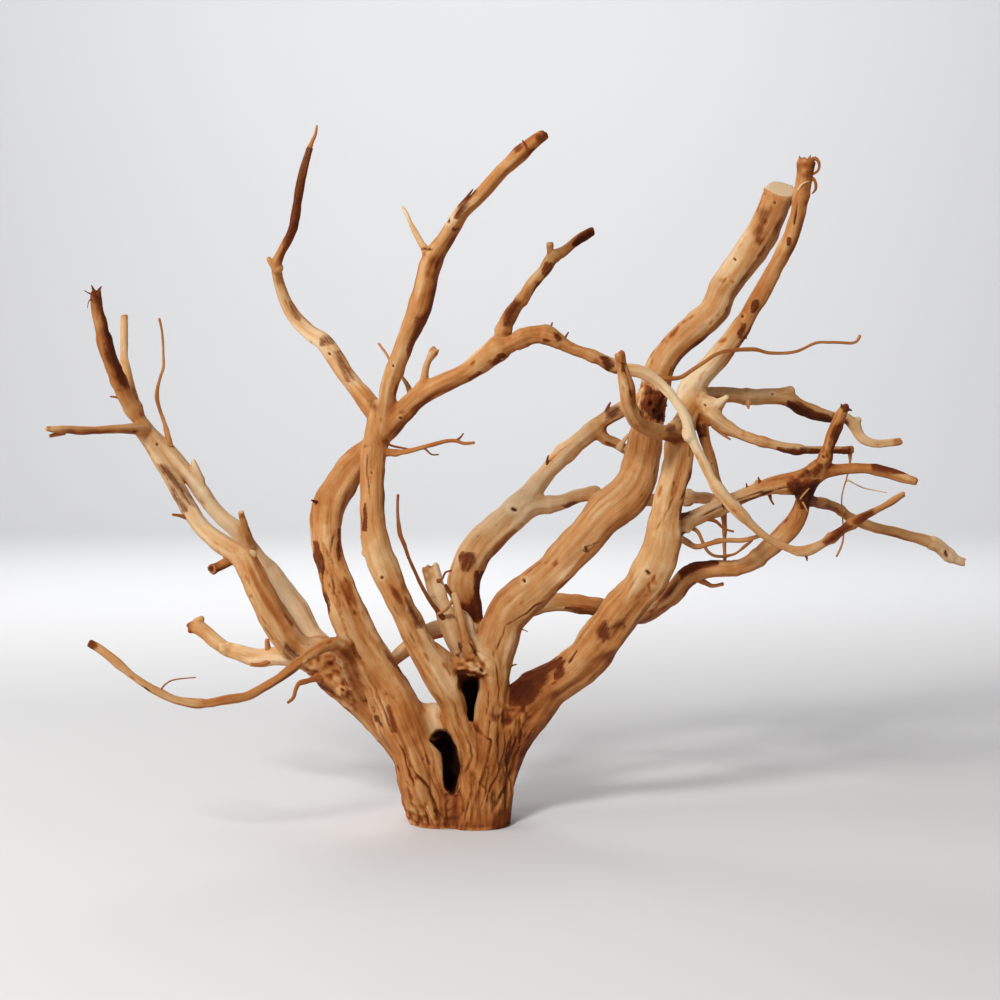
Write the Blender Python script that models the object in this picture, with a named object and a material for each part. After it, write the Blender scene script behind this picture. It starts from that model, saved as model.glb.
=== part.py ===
"""A branching root of driftwood, sawn flat at its foot, as aquarium keepers stand it in sand.

The root grew as one piece, so it is one closed solid. Units are metres and +Z is up. The origin is the
centre of the sawn foot, +X runs along the longest spread and +Y runs away from the viewer.
"""

import itertools
import math

import bmesh
import bpy
from mathutils import Vector
from mathutils.kdtree import KDTree

# Driving sizes
SPREAD = 0.570  # from the tip of the left arm to the tip of the right one
TWIG_LEAST = 0.0012  # least half-thickness of a twig
LIMB_SPACING = 0.003  # between points along a limb
SKIN_STEP = 0.0010  # fineness of the skin before it is thinned out
EASED_FROM, EASED_FULLY = 0.0015, 0.0055  # half-thicknesses between which the forks get rounder
EASE_STRENGTH, EASE_ROUNDS = 0.5, 14
TRIANGLES = 10400
SHARP_EDGE = math.radians(45)

# The limbs were read by eye in steps of a picture: across, down, depth and half-width. At the foot, one step
# of the picture is the spread over the steps that it spans.
SPREAD_STEPS = 920
STEP = SPREAD / SPREAD_STEPS
FOOT_ACROSS, FOOT_DOWN = 457, 819
MIDDLE = 499.5
FOCAL_STEPS = 1855
LOOK_DOWN = math.radians(3.6)
DEPTH_STRETCH = 2.0  # the depths were judged in narrower steps than the picture's

# Each limb runs from its root to its tip, as (across, down, depth, half-width).
LIMBS = {
    # The stump and the ribs that show on its face
    "stump": [
        (459, 860, 0, 46), (459, 819, 0, 46), (457, 800, 0, 47), (458, 785, 2, 45), (459, 768, 3, 41),
        (461, 750, 5, 36), (464, 732, 7, 31), (467, 712, 9, 26), (470, 690, 10, 20),
        (471, 672, 12, 15),
    ],
    "right_rib": [
        (487, 860, -8, 21), (488, 820, -8, 21), (490, 800, -5, 21), (496, 775, -2, 21), (501, 760, 0, 20),
        (509, 738, 0, 21), (519, 717, -2, 22), (536, 696, -4, 21),
    ],
    "left_rib": [
        (436, 860, 6, 21), (433, 826, 6, 20.5), (422, 800, 8, 21), (415, 775, 9, 20.5),
        (406, 748, 9, 20), (387, 722, 8, 19.5), (358, 694, 7, 19.5), (335, 672, 8, 21),
        (318, 655, 8, 18),
    ],
    "front_rib": [
        (468, 860, -15, 23), (469, 800, -13, 19), (467, 770, -12, 17), (463, 744, -11, 15),
        (457, 722, -12, 13.5),
    ],
    "back_rib": [(470, 860, 10, 32), (472, 770, 12, 30), (474, 710, 16, 24), (472, 665, 20, 16)],
    "saddle": [(448, 748, -6, 15), (437, 727, -6, 15), (433, 716, -6, 14)],
    # The two brown stems left of the middle
    "left_stem": [
        (440, 860, -8, 25), (438, 826, -8, 24.5), (428, 800, -10, 24.5), (419, 765, -10, 24.5),
        (408, 735, -9, 24.5), (396, 705, -8, 24), (385, 682, -9, 21.5), (372, 660, -10, 20),
        (360, 640, -12, 19), (350, 620, -12, 18), (343, 600, -12, 17), (336, 580, -10, 15.6),
        (330, 560, -6, 14.6), (327, 540, 0, 14.6), (327, 520, 6, 15.2), (331, 502, 12, 15.6),
        (344, 479, 16, 15), (358, 463, 16, 14), (370, 450, 12, 12.6), (376, 440, 6, 11),
    ],
    "middle_stem": [
        (464, 745, -12, 15), (457, 722, -13, 13.5), (452, 702, -15, 12.5), (444, 684, -17, 15),
        (431, 662, -18, 15), (418, 641, -20, 13.8), (408, 620, -22, 13.2), (398, 600, -24, 12.8),
        (389, 580, -24, 13), (381, 560, -22, 13), (375, 540, -20, 12.8), (372, 520, -16, 12.4),
        (372, 500, -12, 12.3), (373, 460, -4, 12), (375, 442, 0, 12.5), (378, 425, 0, 12.5),
        (381, 410, 0, 10),
    ],
    "far_left_branch": [
        (379, 418, 2, 10.5), (367, 402, 8, 9.8), (355.5, 387, 14, 8.6), (344, 371.5, 20, 8.6),
        (325.5, 344, 28, 8.6), (314, 335.5, 32, 7.4), (301.5, 325, 36, 7), (291, 312, 38, 6.6),
        (284, 298, 38, 6), (279, 284, 36, 5.6), (276.5, 272, 32, 5.2), (276, 262, 28, 4.8),
        (281, 251, 24, 4.4), (292, 228, 16, 4.6), (297, 200, 8, 3.9), (303, 170, 0, 3.8),
        (309, 149, -6, 3.2), (312, 141, -8, 2.4), (316, 133, -9, 1.8), (316.5, 127, -10, 1.2),
    ],
    "far_left_knee": [(277, 264, 28, 4), (270, 260, 27, 2.4)],
    "tall_branch": [
        (384, 432, -2, 9), (385, 417, -8, 8.6), (387, 400, -14, 8.4), (390, 381, -18, 9),
        (405, 341, -26, 9.6), (414.5, 321, -30, 10.8), (421, 300, -34, 11), (430, 264, -38, 10.6),
        (437, 250, -42, 9.4), (446.5, 237, -46, 8.2), (463, 210, -54, 8), (477, 197, -58, 7.5),
        (501.5, 169.5, -65, 7), (529, 144.5, -70, 6.6), (543, 134.5, -72, 6),
    ],
    "tall_branch_spur": [
        (427, 262, -38, 7), (421, 247, -36, 5.8), (415.5, 235, -34, 4.6), (411, 224, -31, 3.8),
        (406, 214, -28, 3), (402, 207, -26, 2.4),
    ],
    "hidden_twig": [
        (411, 392, -14, 3), (404, 379, -8, 2.2), (392, 364, 0, 2), (386, 353.5, 4, 2),
        (378, 343, 8, 2),
    ],
    "middle_branch": [
        (388, 428, -4, 9.8), (397, 417.5, -10, 10), (408, 405.5, -16, 10.4), (420, 395, -22, 10.8),
        (435, 386, -28, 10.2), (452, 378.5, -32, 9.6), (468, 370.5, -36, 10), (483, 359.5, -40, 10.3),
        (497.5, 348, -44, 11),
    ],
    "middle_branch_spur": [
        (423, 388, -24, 6.5), (424, 375, -26, 5.2), (426, 364, -28, 4.6), (430, 355, -30, 4.2),
        (437, 348, -32, 3.5),
    ],
    "burnt_branch": [
        (498, 350, -44, 9), (502.5, 330.5, -40, 6.8), (510.5, 315, -36, 7), (521, 300.5, -32, 6.2),
        (531, 284, -28, 6), (543, 270, -24, 6.4), (551, 257.5, -20, 6.4), (564, 249.5, -17, 5.2),
        (576, 240, -14, 4.8), (590.5, 231, -10, 4.2),
    ],
    "burnt_branch_stub": [(549, 258, -20, 4), (549, 250, -20, 3.4), (549, 244, -21, 3)],
    "small_side_twig": [
        (378, 452, 0, 5), (390, 452.5, -4, 4.8), (403, 451, -8, 4.2), (417, 448, -12, 3.6),
        (431, 444.5, -15, 3.3), (445, 441, -17, 3), (455, 440.5, -18, 2.6), (464, 443, -19, 2.2),
        (474, 442, -20, 2),
    ],
    # The pale spray on the left
    "left_front_arm": [
        (318, 656, 4, 18), (300, 650, 0, 15), (283, 632, -4, 14.2), (270, 612, -6, 14),
        (260, 592, -6, 13), (252, 574, -4, 12), (243, 558, -2, 11), (228, 548, 0, 9.8),
        (212.5, 537.5, 2, 8.6), (199.5, 524.5, 4, 8.2), (182.5, 497, 6, 8), (174, 482, 7, 7.8),
        (154, 452, 6, 6.8), (139, 429, 4, 6.4),
    ],
    "left_back_arm": [
        (318, 650, 16, 16), (307, 636, 22, 13.4), (298.5, 617, 26, 13), (289, 601, 28, 12.4),
        (278.5, 586, 28, 11.2), (268, 571, 26, 10), (257, 557.5, 22, 8.4), (238, 531.5, 16, 8),
        (214.5, 509.5, 14, 8.2), (196.5, 485, 12, 7.6), (177.5, 462.5, 10, 8.2), (158, 442, 8, 7.6),
        (139.5, 419.5, 4, 6.8), (132, 408, 2, 7),
    ],
    "left_dark_top": [
        (134, 410, 2, 7.5), (125.5, 396.5, -2, 8), (117.5, 380, -8, 8), (110.5, 363, -14, 7.8),
        (105, 346, -20, 7.8), (101, 329, -26, 6.8), (97.5, 312, -31, 5.8), (96, 298, -35, 5.2),
        (95.5, 289, -38, 4.8),
    ],
    "left_second_top": [
        (132, 402, 4, 6.6), (129, 388, 10, 6), (126, 372, 16, 5.2), (123, 357, 22, 4.3),
        (123.5, 328, 31, 3.8), (123.5, 318, 34, 3.6),
    ],
    "left_pointer": [
        (141, 428, 2, 6.8), (130, 428.5, -6, 5.6), (116, 428.5, -14, 4.8), (84, 430.2, -30, 4.6),
        (70, 429.5, -36, 4.6), (58, 429, -42, 4), (46, 428, -46, 2.4),
    ],
    "left_pointer_fork": [(64, 431, -38, 2.6), (49, 436, -42, 2)],
    "left_whip": [
        (168, 447, 8, 5.4), (167, 434, 12, 3.9), (163.5, 420, 17, 3.2), (159, 409, 21, 2.9),
        (156.5, 398, 24, 3.2), (157, 388, 26, 2.6), (160, 376, 28, 2.2), (163, 363, 30, 2),
        (161.5, 333, 31, 2), (158.5, 318, 30, 2),
    ],
    "left_knuckle": [(249, 545, 16, 6), (246, 533, 12, 5), (243, 522, 9, 4.4), (240.5, 512, 6, 3.4)],
    "left_open_stub": [(236, 556, 4, 5), (225, 563, 0, 4.6), (212, 569.5, -6, 4.4)],
    "left_thorn": [(190, 517, 5, 3.4), (180, 515, 2, 2.4), (172, 514, 0, 2)],
    "pale_low_arm": [
        (300, 655, 18, 12), (285, 655, 24, 9.8), (272, 655.5, 28, 9), (257, 657, 32, 9),
        (240, 653, 36, 7.8), (226, 648.5, 40, 7), (214, 640, 43, 7), (204.5, 631.5, 46, 6.8),
        (197, 626, 48, 6.8), (191, 627, 50, 5.4),
    ],
    "pale_low_arm_stub": [(268, 652, 28, 3.6), (267, 639, 26, 2.6)],
    "long_low_arm": [
        (352, 675, -6, 10), (347, 662, -16, 9), (341, 650, -24, 8), (332, 644, -30, 7.6),
        (320, 648, -36, 6.4), (306, 656.5, -42, 5.7), (293, 666, -47, 5.3), (278.5, 677.5, -52, 5),
        (262, 687.5, -56, 4.8), (245, 696, -60, 4.6), (225, 699.5, -64, 4.5), (205, 703, -67, 4.5),
        (185, 701.5, -70, 4.5), (167, 696.5, -72, 4.5), (136.5, 679, -75, 4.3), (108, 655.5, -76, 4.3),
        (99.5, 648.5, -76, 4.6), (90, 643, -76, 4.1),
    ],
    "hooked_twig": [
        (320, 676, 0, 5), (308, 680, -6, 3.2), (299, 682.5, -10, 3), (295.5, 689, -12, 2.8),
        (293, 697, -14, 2.5), (287, 702, -15, 2),
    ],
    # The middle, behind the two brown stems
    "pale_stem": [
        (474, 660, 22, 16), (472, 640, 30, 15), (469, 620, 36, 13), (465.5, 603, 40, 12.8),
        (463.5, 585, 42, 14.8), (469, 565, 44, 15.4), (478, 547.5, 45, 15.2), (493, 532, 46, 14.6),
        (508.5, 517.5, 46, 14), (521.5, 505.5, 46, 13),
    ],
    "pale_stem_top": [
        (515, 511, 46, 12), (531, 492, 48, 10.4), (541, 478, 50, 9.4), (556.5, 460.5, 52, 9.2),
        (574.5, 444, 52, 8.8), (590.5, 431, 50, 8.2), (604, 419.5, 48, 7.8), (618, 411, 44, 8),
        (632, 403, 38, 7.5), (647, 396, 28, 7),
    ],
    "pale_stem_link": [
        (598, 427, 49, 6.4), (605, 438, 50, 6), (616, 443, 52, 5.2), (627, 450.5, 50, 5.2),
        (636, 455, 42, 5), (645, 462, 28, 5),
    ],
    "pale_stem_side": [
        (515, 511, 46, 11), (535, 505.5, 46, 9.4), (548, 504.5, 46, 8.3), (561, 502, 45, 7.4),
        (575, 496.5, 44, 6.8), (590, 494, 42, 6.6), (602, 496.5, 40, 6), (625, 500, 42, 6),
        (650, 500, 36, 6), (672, 498, 24, 6), (688, 496.5, 10, 6), (702, 497.5, 2, 5.6),
        (715, 500, -6, 5.8), (725, 502, -10, 6.5),
    ],
    "back_bar": [
        (468, 630, 30, 9), (448, 628, 26, 8), (432, 630.5, 24, 8), (416, 641, 22, 7.4),
        (402, 651, 18, 7.4), (390, 662, 10, 7), (380, 670, 0, 7),
    ],
    "broken_stump": [
        (466, 672, 6, 15), (458, 648, 0, 11.5), (449, 630, 0, 11.5), (441, 611, 2, 9.4),
        (434, 592, 4, 9.4), (431.5, 570, 6, 10),
    ],
    "thin_spike": [
        (444, 622, -6, 4), (436, 611, -8, 3.2), (429, 600, -12, 2.8), (422, 587, -14, 2.6),
        (414.5, 571, -16, 2.5), (408, 557, -17, 2.4), (403.5, 543, -17, 2.4), (399, 531, -16, 2.2),
        (397, 512, -14, 2), (397.5, 494, -12, 2),
    ],
    "crooked_twig": [
        (474, 676, 2, 9), (472, 664, -6, 7), (468, 650, -10, 5.4), (464, 633, -13, 4.4),
        (460, 616, -14, 3.8), (455, 594, -12, 3.2),
    ],
    "crooked_twig_end": [
        (455, 593, -12, 2.6), (451, 602, -12, 2.4), (445, 609, -8, 2.4), (438, 613, -6, 2.4),
    ],
    # The thick golden stem on the right, sawn off at its top
    "thick_stem": [
        (480, 860, -13, 26), (482, 795, -11, 22), (487, 755, -9, 18), (489, 725, -8, 16),
        (491, 700, -7, 15), (493, 680, -5, 16), (494, 660, -3, 18.5), (497, 640, 0, 20.5),
        (504.5, 617.5, 2, 20.5), (517.5, 602.5, 4, 20), (534.5, 588, 4, 19.6), (551.5, 572, 4, 19.4),
        (569, 554.5, 4, 19.4), (587, 535.5, 4, 20.2), (605, 513.5, 4, 20.8), (622.5, 498, 5, 20.6),
        (635, 482, 8, 20), (642, 460, 12, 18.6), (645, 440, 16, 17), (648, 420, 20, 15),
        (651, 400, 22, 14), (660, 368, 20, 14.2), (669, 351.5, 18, 14.4), (682.5, 337, 17, 14.4),
        (699, 322.5, 16, 14.5), (713, 309, 15, 14.8), (721, 292, 14, 14.5), (733, 274, 13, 14.6),
        (758, 237, 11, 15), (768, 217, 10, 15), (775.5, 200, 9, 14.6), (782, 187, 8, 13.8),
        (787, 176, 7, 13.4),
    ],
    # The second right stem, which ends in a knot of thin branches
    "second_stem": [
        (516, 717, 0, 21), (534, 695.5, -2, 21.5), (558.5, 679, -6, 20), (585, 658, -12, 19.6),
        (604, 634, -18, 19.2), (622, 609, -24, 19), (641, 586, -28, 19), (655, 562, -32, 19),
        (662, 542, -34, 18), (665, 521, -34, 15.8), (668, 500, -34, 15.4), (673, 480, -32, 15.4),
        (678, 461, -28, 15.4), (678, 446, -24, 15.2), (680, 432, -20, 13.4), (687, 418, -10, 12),
        (696, 403, 0, 12),
    ],
    "forked_prong": [
        (680, 436, -24, 10), (662, 431.5, -40, 8.6), (648, 429, -52, 8.8), (637, 421, -60, 9.8),
        (630, 405, -66, 9.4), (628, 390, -70, 8.4), (624, 374, -73, 7), (618, 350, -76, 4.6),
    ],
    "ragged_stem": [
        (690, 402, 0, 12), (693, 390, 0, 11), (701.5, 374.5, 0, 10.6), (716, 358.5, 0, 10),
        (739, 329, -4, 9.2), (760.5, 294, -8, 8.6), (782, 254, -12, 8.6), (791, 234, -14, 8.6),
        (797, 214, -16, 8.4), (800, 198, -17, 7.8), (802.5, 185, -18, 7), (806.5, 158, -20, 7),
    ],
    "red_twig": [
        (652, 376, -50, 3.4), (668, 378.5, -50, 2.6), (680, 377, -48, 2.6), (691, 370, -46, 2.5),
        (703, 362, -44, 2.5), (715, 354, -42, 2.6), (728, 350, -40, 2.6), (752, 348.5, -36, 2.3),
        (770, 352.5, -32, 2.4), (795, 351, -28, 2), (815, 342.5, -24, 2.1), (830, 342, -22, 2),
        (853, 342, -18, 2), (859.5, 335, -16, 2),
    ],
    "long_crossing_branch": [
        (497.5, 348, -44, 10.5), (514, 342, -46, 8.8), (530, 335, -48, 9), (545, 334, -49, 8.2),
        (558, 340, -50, 7.4), (570, 347, -50, 6.4), (585, 352.5, -50, 5.9), (610, 366, -50, 6.8),
        (624, 370, -50, 6.4), (640, 372, -50, 6.6), (655, 379, -50, 7.2), (668, 390, -51, 7.3),
        (680.5, 405, -52, 7), (686.5, 420, -52, 6.4), (690, 434, -52, 5.7), (697, 449.5, -53, 6),
        (713.5, 482.5, -54, 5.8), (726, 498.5, -54, 5.5), (742, 515, -54, 5.2), (757, 530, -53, 4.9),
        (772, 541, -52, 4.6), (788, 548.5, -52, 4.4), (802, 551.5, -52, 4.8), (820, 544.5, -52, 4.4),
        (838, 533, -52, 4.6), (855, 521, -50, 4.5), (868, 513.5, -48, 3.8), (885, 504.5, -46, 3.5),
        (903, 493.5, -44, 3.2),
    ],
    "upper_right_arm": [
        (695, 399, 4, 9.5), (712, 395, 12, 8.4), (730, 395, 18, 8), (748, 396.5, 24, 8),
        (768, 397, 30, 8.2), (785, 399, 34, 8.4), (800, 406, 38, 7.2), (815.5, 412, 42, 7),
        (831, 417, 46, 6.6), (844.5, 419.5, 48, 6.8), (854, 426, 50, 7), (858.5, 435, 50, 6.4),
        (866, 440.5, 48, 5.4), (880, 444, 44, 4.8), (900, 441.5, 38, 4),
    ],
    "lower_right_arm": [
        (700, 408, -2, 10), (714, 418, -10, 8), (727, 428, -16, 6.2), (740, 434.8, -18, 5),
        (756, 440, -19, 4.8), (772, 444, -19, 4.5), (788, 447.8, -18, 4.4), (804, 449.5, -17, 4.3),
        (835, 449.5, -12, 3.9), (851, 449, -10, 3.6),
    ],
    "hanging_root": [
        (849, 448, -10, 3), (849.5, 462, -8, 2.4), (846, 478, -6, 2.2), (842.5, 490, -6, 2),
        (841, 502, -6, 2), (843, 531, -8, 2), (841, 545, -10, 2), (836, 556, -12, 2),
    ],
    "down_link": [
        (700, 420, -6, 7), (704.5, 438, -14, 5.4), (708.5, 450, -18, 4.8), (713, 464, -20, 4.2),
        (717, 478, -20, 3.6), (721, 490, -16, 3.6), (726, 502, -11, 4),
    ],
    # The dark crown on the far right
    "crown_bridge": [
        (660, 535, -32, 12), (672, 529, -30, 11), (684, 522, -26, 9.4), (697, 516, -22, 8.7),
        (710, 510, -16, 8), (725, 503, -10, 7.4),
    ],
    "crown_arm": [
        (718, 506, -12, 7), (740, 497, -14, 8.4), (755.5, 491, -18, 8.5), (770.5, 487, -22, 9),
        (786, 484.5, -26, 10.5), (801, 481, -30, 11.5), (813, 475, -33, 11.2), (821.5, 465, -35, 10),
        (825.5, 452, -37, 8.6), (829, 438, -38, 7), (834.5, 424, -39, 6.2), (841, 412, -40, 4.8),
        (847, 405.5, -40, 2.4),
    ],
    "crown_finger": [
        (816, 471, -34, 9.5), (836, 470, -34, 6.6), (853, 470, -36, 6), (870, 470.3, -38, 6),
        (888, 473.2, -40, 6.1), (902, 477.2, -42, 4.8), (914, 481.5, -44, 4),
    ],
    "far_right_tip": [
        (802, 493, -22, 8), (811, 500, -6, 6), (825, 504.5, 14, 5), (837.5, 509, 24, 5.2),
        (848.5, 516.5, 30, 5.2), (862, 523, 34, 5.4), (880, 529, 38, 4.9), (900, 533.5, 42, 4.8),
        (920, 538.7, 46, 4.6), (935.5, 545, 48, 5), (945.5, 554, 50, 5), (954, 558.2, 51, 4.2),
        (964, 559.5, 52, 3),
    ],
    "low_branch": [
        (478, 640, 30, 14), (500, 625, 42, 11), (522, 611, 52, 9.8), (545, 603, 58, 8.8),
        (570, 602.5, 60, 9), (595, 606, 58, 9.8), (620, 613, 50, 10), (640, 614, 36, 9.6),
        (652, 609, 20, 9.2), (663.5, 601.5, 8, 9.5), (675, 592, 0, 10), (685.5, 579, -6, 10.6),
        (697, 571, -10, 9.6), (715, 568, -14, 8.6), (735, 566.5, -16, 7.8), (752, 561, -18, 8),
        (766.5, 549.5, -20, 8.8), (778.5, 538, -22, 9), (790.5, 526.5, -24, 9.3),
        (799, 512.5, -26, 8.2), (803, 498, -28, 7), (808, 485, -31, 8),
    ],
    "low_branch_twig": [
        (696, 577, -10, 3.6), (705, 583, -10, 2.8), (712, 585.8, -10, 2.5), (723, 583.5, -10, 2.2),
    ],
    "tangle_post": [
        (722, 508, -10, 3.6), (724, 525, -10, 3), (724, 543, -12, 2.7), (724, 561, -14, 2.5),
    ],
    "tangle_bar": [
        (674, 532, -28, 4), (685, 540, -24, 3.4), (696, 546, -24, 3.4), (708, 543.3, -26, 3),
        (722, 540, -30, 2.8), (748, 539, -42, 2.6), (762, 534, -48, 2.4),
    ],
    "tangle_hook": [
        (689, 527, -24, 3), (697.5, 531.5, -25, 2.2), (703, 543, -25, 2.2), (707.5, 551, -24, 2.1),
        (715, 555.5, -20, 2), (726, 556, -14, 2),
    ],
}

# The thick stem's sawn top: a point on the cut, how the cut leans to the right and to the front, and the wood
# that the saw takes off, narrow enough to miss the stem that stands in front
STEM_CUT = (783, 186, 8)
STEM_CUT_LEAN_RIGHT, STEM_CUT_LEAN_FRONT = math.radians(14), math.radians(24)
STEM_OFFCUT_LOW, STEM_OFFCUT_HIGH = (-0.030, -0.0125, 0.0), (0.018, 0.025, 0.030)

# The wood below the flat foot, which is sawn off
FOOT_OFFCUT_LOW, FOOT_OFFCUT_HIGH = (-0.1, -0.1, -0.1), (0.1, 0.1, 0.0)

# The two rotted hollows in the face of the stump, as outlines, with the depths between which they are cut
UPPER_HOLLOW = [
    (466, 676), (478, 676), (480, 688), (478, 700), (475, 715), (472, 721), (468, 712), (464, 697), (461, 686),
]
LOWER_HOLLOW = [
    (441, 729), (450, 735), (456, 746), (459, 762), (457, 780), (451, 793), (445, 786), (440, 771), (437, 755),
    (429, 740), (433, 733),
]
HOLLOW_FRONT, UPPER_HOLLOW_BACK, LOWER_HOLLOW_BACK = -70, 8, 6
HOLLOW_TAPER = 0.55  # how wide a hollow is at its back, as a share of its mouth

WOOD_COLOUR = (0.40, 0.19, 0.075, 1.0)
WOOD_ROUGHNESS = 0.72


def sight_ray(across, down):
    """The direction from the viewer's eye through a point of the picture, 1 long along the view."""
    right = (across - MIDDLE) / FOCAL_STEPS
    up = (MIDDLE - down) / FOCAL_STEPS
    cosine, sine = math.cos(LOOK_DOWN), math.sin(LOOK_DOWN)
    return Vector((right, cosine + up * sine, up * cosine - sine))


EYE = -sight_ray(FOOT_ACROSS, FOOT_DOWN) * FOCAL_STEPS * STEP


def placed(across, down, depth):
    """The point seen here in the picture, this far behind the foot's middle, and the size of a step there."""
    ray = sight_ray(across, down)
    far = (depth * STEP * DEPTH_STRETCH - EYE.y) / ray.y
    return EYE + ray * far, far / FOCAL_STEPS


def curved(stations):
    """Points with half-thicknesses along a smooth curve through a limb's stations."""
    knots = []
    for across, down, depth, half_width in stations:
        place, step = placed(across, down, depth)
        knots.append(Vector((*place, max(half_width * step, TWIG_LEAST))))
    every = [knots[0], *knots, knots[-1]]
    points = []
    for before, start, end, after in zip(every, every[1:], every[2:], every[3:]):
        count = max(1, round((end - start).length / LIMB_SPACING))
        slope = end - before
        bend = 2 * before - 5 * start + 4 * end - after
        twist = 3 * start - before - 3 * end + after
        for i in range(count):
            t = i / count
            points.append(start + (slope * t + bend * t**2 + twist * t**3) / 2)
    points.append(knots[-1])
    return points


def limb_mesh(name, points):
    """A closed tube along the points, as thick as the limb at each of them, with a rounded tip."""
    curve = bpy.data.curves.new(name, "CURVE")
    curve.dimensions = "3D"
    curve.bevel_depth = 1.0
    curve.bevel_resolution = 4
    curve.use_fill_caps = True
    spline = curve.splines.new("POLY")
    tip, half = points[-1].xyz, points[-1].w
    along = (tip - points[-2].xyz).normalized()
    shoulder = Vector((*(tip + along * half * 0.30), half * 0.90))
    crest = Vector((*(tip + along * half * 0.55), half * 0.60))
    every = [*points, shoulder, crest]
    spline.points.add(len(every) - 1)
    for point, station in zip(spline.points, every):
        point.co = (*station.xyz, 1)
        point.radius = station.w
    holder = bpy.data.objects.new(name, curve)
    bpy.context.scene.collection.objects.link(holder)
    mesh = bpy.data.meshes.new_from_object(holder.evaluated_get(bpy.context.evaluated_depsgraph_get()))
    bpy.data.objects.remove(holder)
    bpy.data.curves.remove(curve)
    return mesh


def apply_modifiers(thing):
    """Makes the mesh what its modifiers show, and takes them off."""
    graph = bpy.context.evaluated_depsgraph_get()
    shaped = bpy.data.meshes.new_from_object(thing.evaluated_get(graph))
    thing.modifiers.clear()
    thing.data = shaped


def grown_together(limbs):
    """One skin round all the limbs."""
    joined = bmesh.new()
    for name, points in limbs.items():
        mesh = limb_mesh(name, points)
        joined.from_mesh(mesh)
        bpy.data.meshes.remove(mesh)
    bmesh.ops.remove_doubles(joined, verts=joined.verts, dist=1e-6)
    bmesh.ops.recalc_face_normals(joined, faces=joined.faces)
    mesh = bpy.data.meshes.new("driftwood")
    joined.to_mesh(mesh)
    joined.free()
    wood = bpy.data.objects.new("driftwood", mesh)
    bpy.context.scene.collection.objects.link(wood)
    skin = wood.modifiers.new("Skin", "REMESH")
    skin.mode = "VOXEL"
    skin.voxel_size = SKIN_STEP
    apply_modifiers(wood)
    return wood


def ease_forks(wood, limbs):
    """Rounds the skin, most where the wood is thick, so that the forks flow and the twigs keep their size."""
    centres = [point for points in limbs.values() for point in points]
    tree = KDTree(len(centres))
    for index, point in enumerate(centres):
        tree.insert(point.xyz, index)
    tree.balance()
    thick = wood.vertex_groups.new(name="Thick")
    for vertex in wood.data.vertices:
        half = centres[tree.find(vertex.co)[1]].w
        share = (half - EASED_FROM) / (EASED_FULLY - EASED_FROM)
        thick.add([vertex.index], min(1.0, max(0.0, share)), "REPLACE")
    smooth = wood.modifiers.new("Eased forks", "SMOOTH")
    smooth.factor = EASE_STRENGTH
    smooth.iterations = EASE_ROUNDS
    smooth.vertex_group = thick.name
    apply_modifiers(wood)
    wood.vertex_groups.clear()


def thin_out(wood):
    """Takes faces away, most where the wood is smooth and straight."""
    wood.data.calc_loop_triangles()
    fewer = wood.modifiers.new("Fewer faces", "DECIMATE")
    fewer.ratio = TRIANGLES / len(wood.data.loop_triangles)
    fewer.use_collapse_triangulate = True
    apply_modifiers(wood)


def cutter(name, corners, faces):
    """A closed shape to cut with."""
    mesh = bpy.data.meshes.new(name)
    mesh.from_pydata(corners, [], faces)
    shape = bmesh.new()
    shape.from_mesh(mesh)
    bmesh.ops.recalc_face_normals(shape, faces=shape.faces)
    shape.to_mesh(mesh)
    shape.free()
    tool = bpy.data.objects.new(name, mesh)
    tool.hide_render = True
    tool.display_type = "WIRE"
    bpy.context.scene.collection.objects.link(tool)
    return tool


def block(name, low, high):
    """A box from its low corner to its high corner."""
    corners = list(itertools.product(*zip(low, high)))
    sides = [(0, 1, 3, 2), (4, 6, 7, 5), (0, 4, 5, 1), (2, 3, 7, 6), (0, 2, 6, 4), (1, 5, 7, 3)]
    return cutter(name, corners, sides)


def hollow(name, outline, front, back):
    """A plug with the outline of a hollow's mouth, narrower at its back."""
    count = len(outline)
    middle_across = sum(across for across, down in outline) / count
    middle_down = sum(down for across, down in outline) / count
    rings = ((front, 1.0), ((front + 2 * back) / 3, 1.0), (back, HOLLOW_TAPER))
    corners = []
    for depth, width in rings:
        for across, down in outline:
            across = middle_across + (across - middle_across) * width
            down = middle_down + (down - middle_down) * width
            corners.append(placed(across, down, depth)[0])
    faces = [tuple(range(count)), tuple(range(2 * count, 3 * count))]
    for start in (0, count):
        for i in range(count):
            j = (i + 1) % count
            faces.append((start + i, start + j, start + count + j, start + count + i))
    return cutter(name, corners, faces)


def cut(wood, tool):
    """Takes the tool's shape out of the wood, and the tool out of the scene."""
    cutting = wood.modifiers.new(tool.name, "BOOLEAN")
    cutting.operation = "DIFFERENCE"
    cutting.solver = "EXACT"
    cutting.object = tool
    apply_modifiers(wood)
    bpy.data.objects.remove(tool)


def wood_material():
    """Bare, sanded root wood with no bark."""
    material = bpy.data.materials.new("Bare root wood")
    material.use_nodes = True
    shader = material.node_tree.nodes["Principled BSDF"]
    shader.inputs["Base Color"].default_value = WOOD_COLOUR
    shader.inputs["Roughness"].default_value = WOOD_ROUGHNESS
    shader.inputs["Metallic"].default_value = 0.0
    material.diffuse_color = WOOD_COLOUR
    return material


for leftover in list(bpy.data.objects):
    bpy.data.objects.remove(leftover)

limb_points = {name: curved(stations) for name, stations in LIMBS.items()}
driftwood = grown_together(limb_points)
ease_forks(driftwood, limb_points)
thin_out(driftwood)

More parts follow.
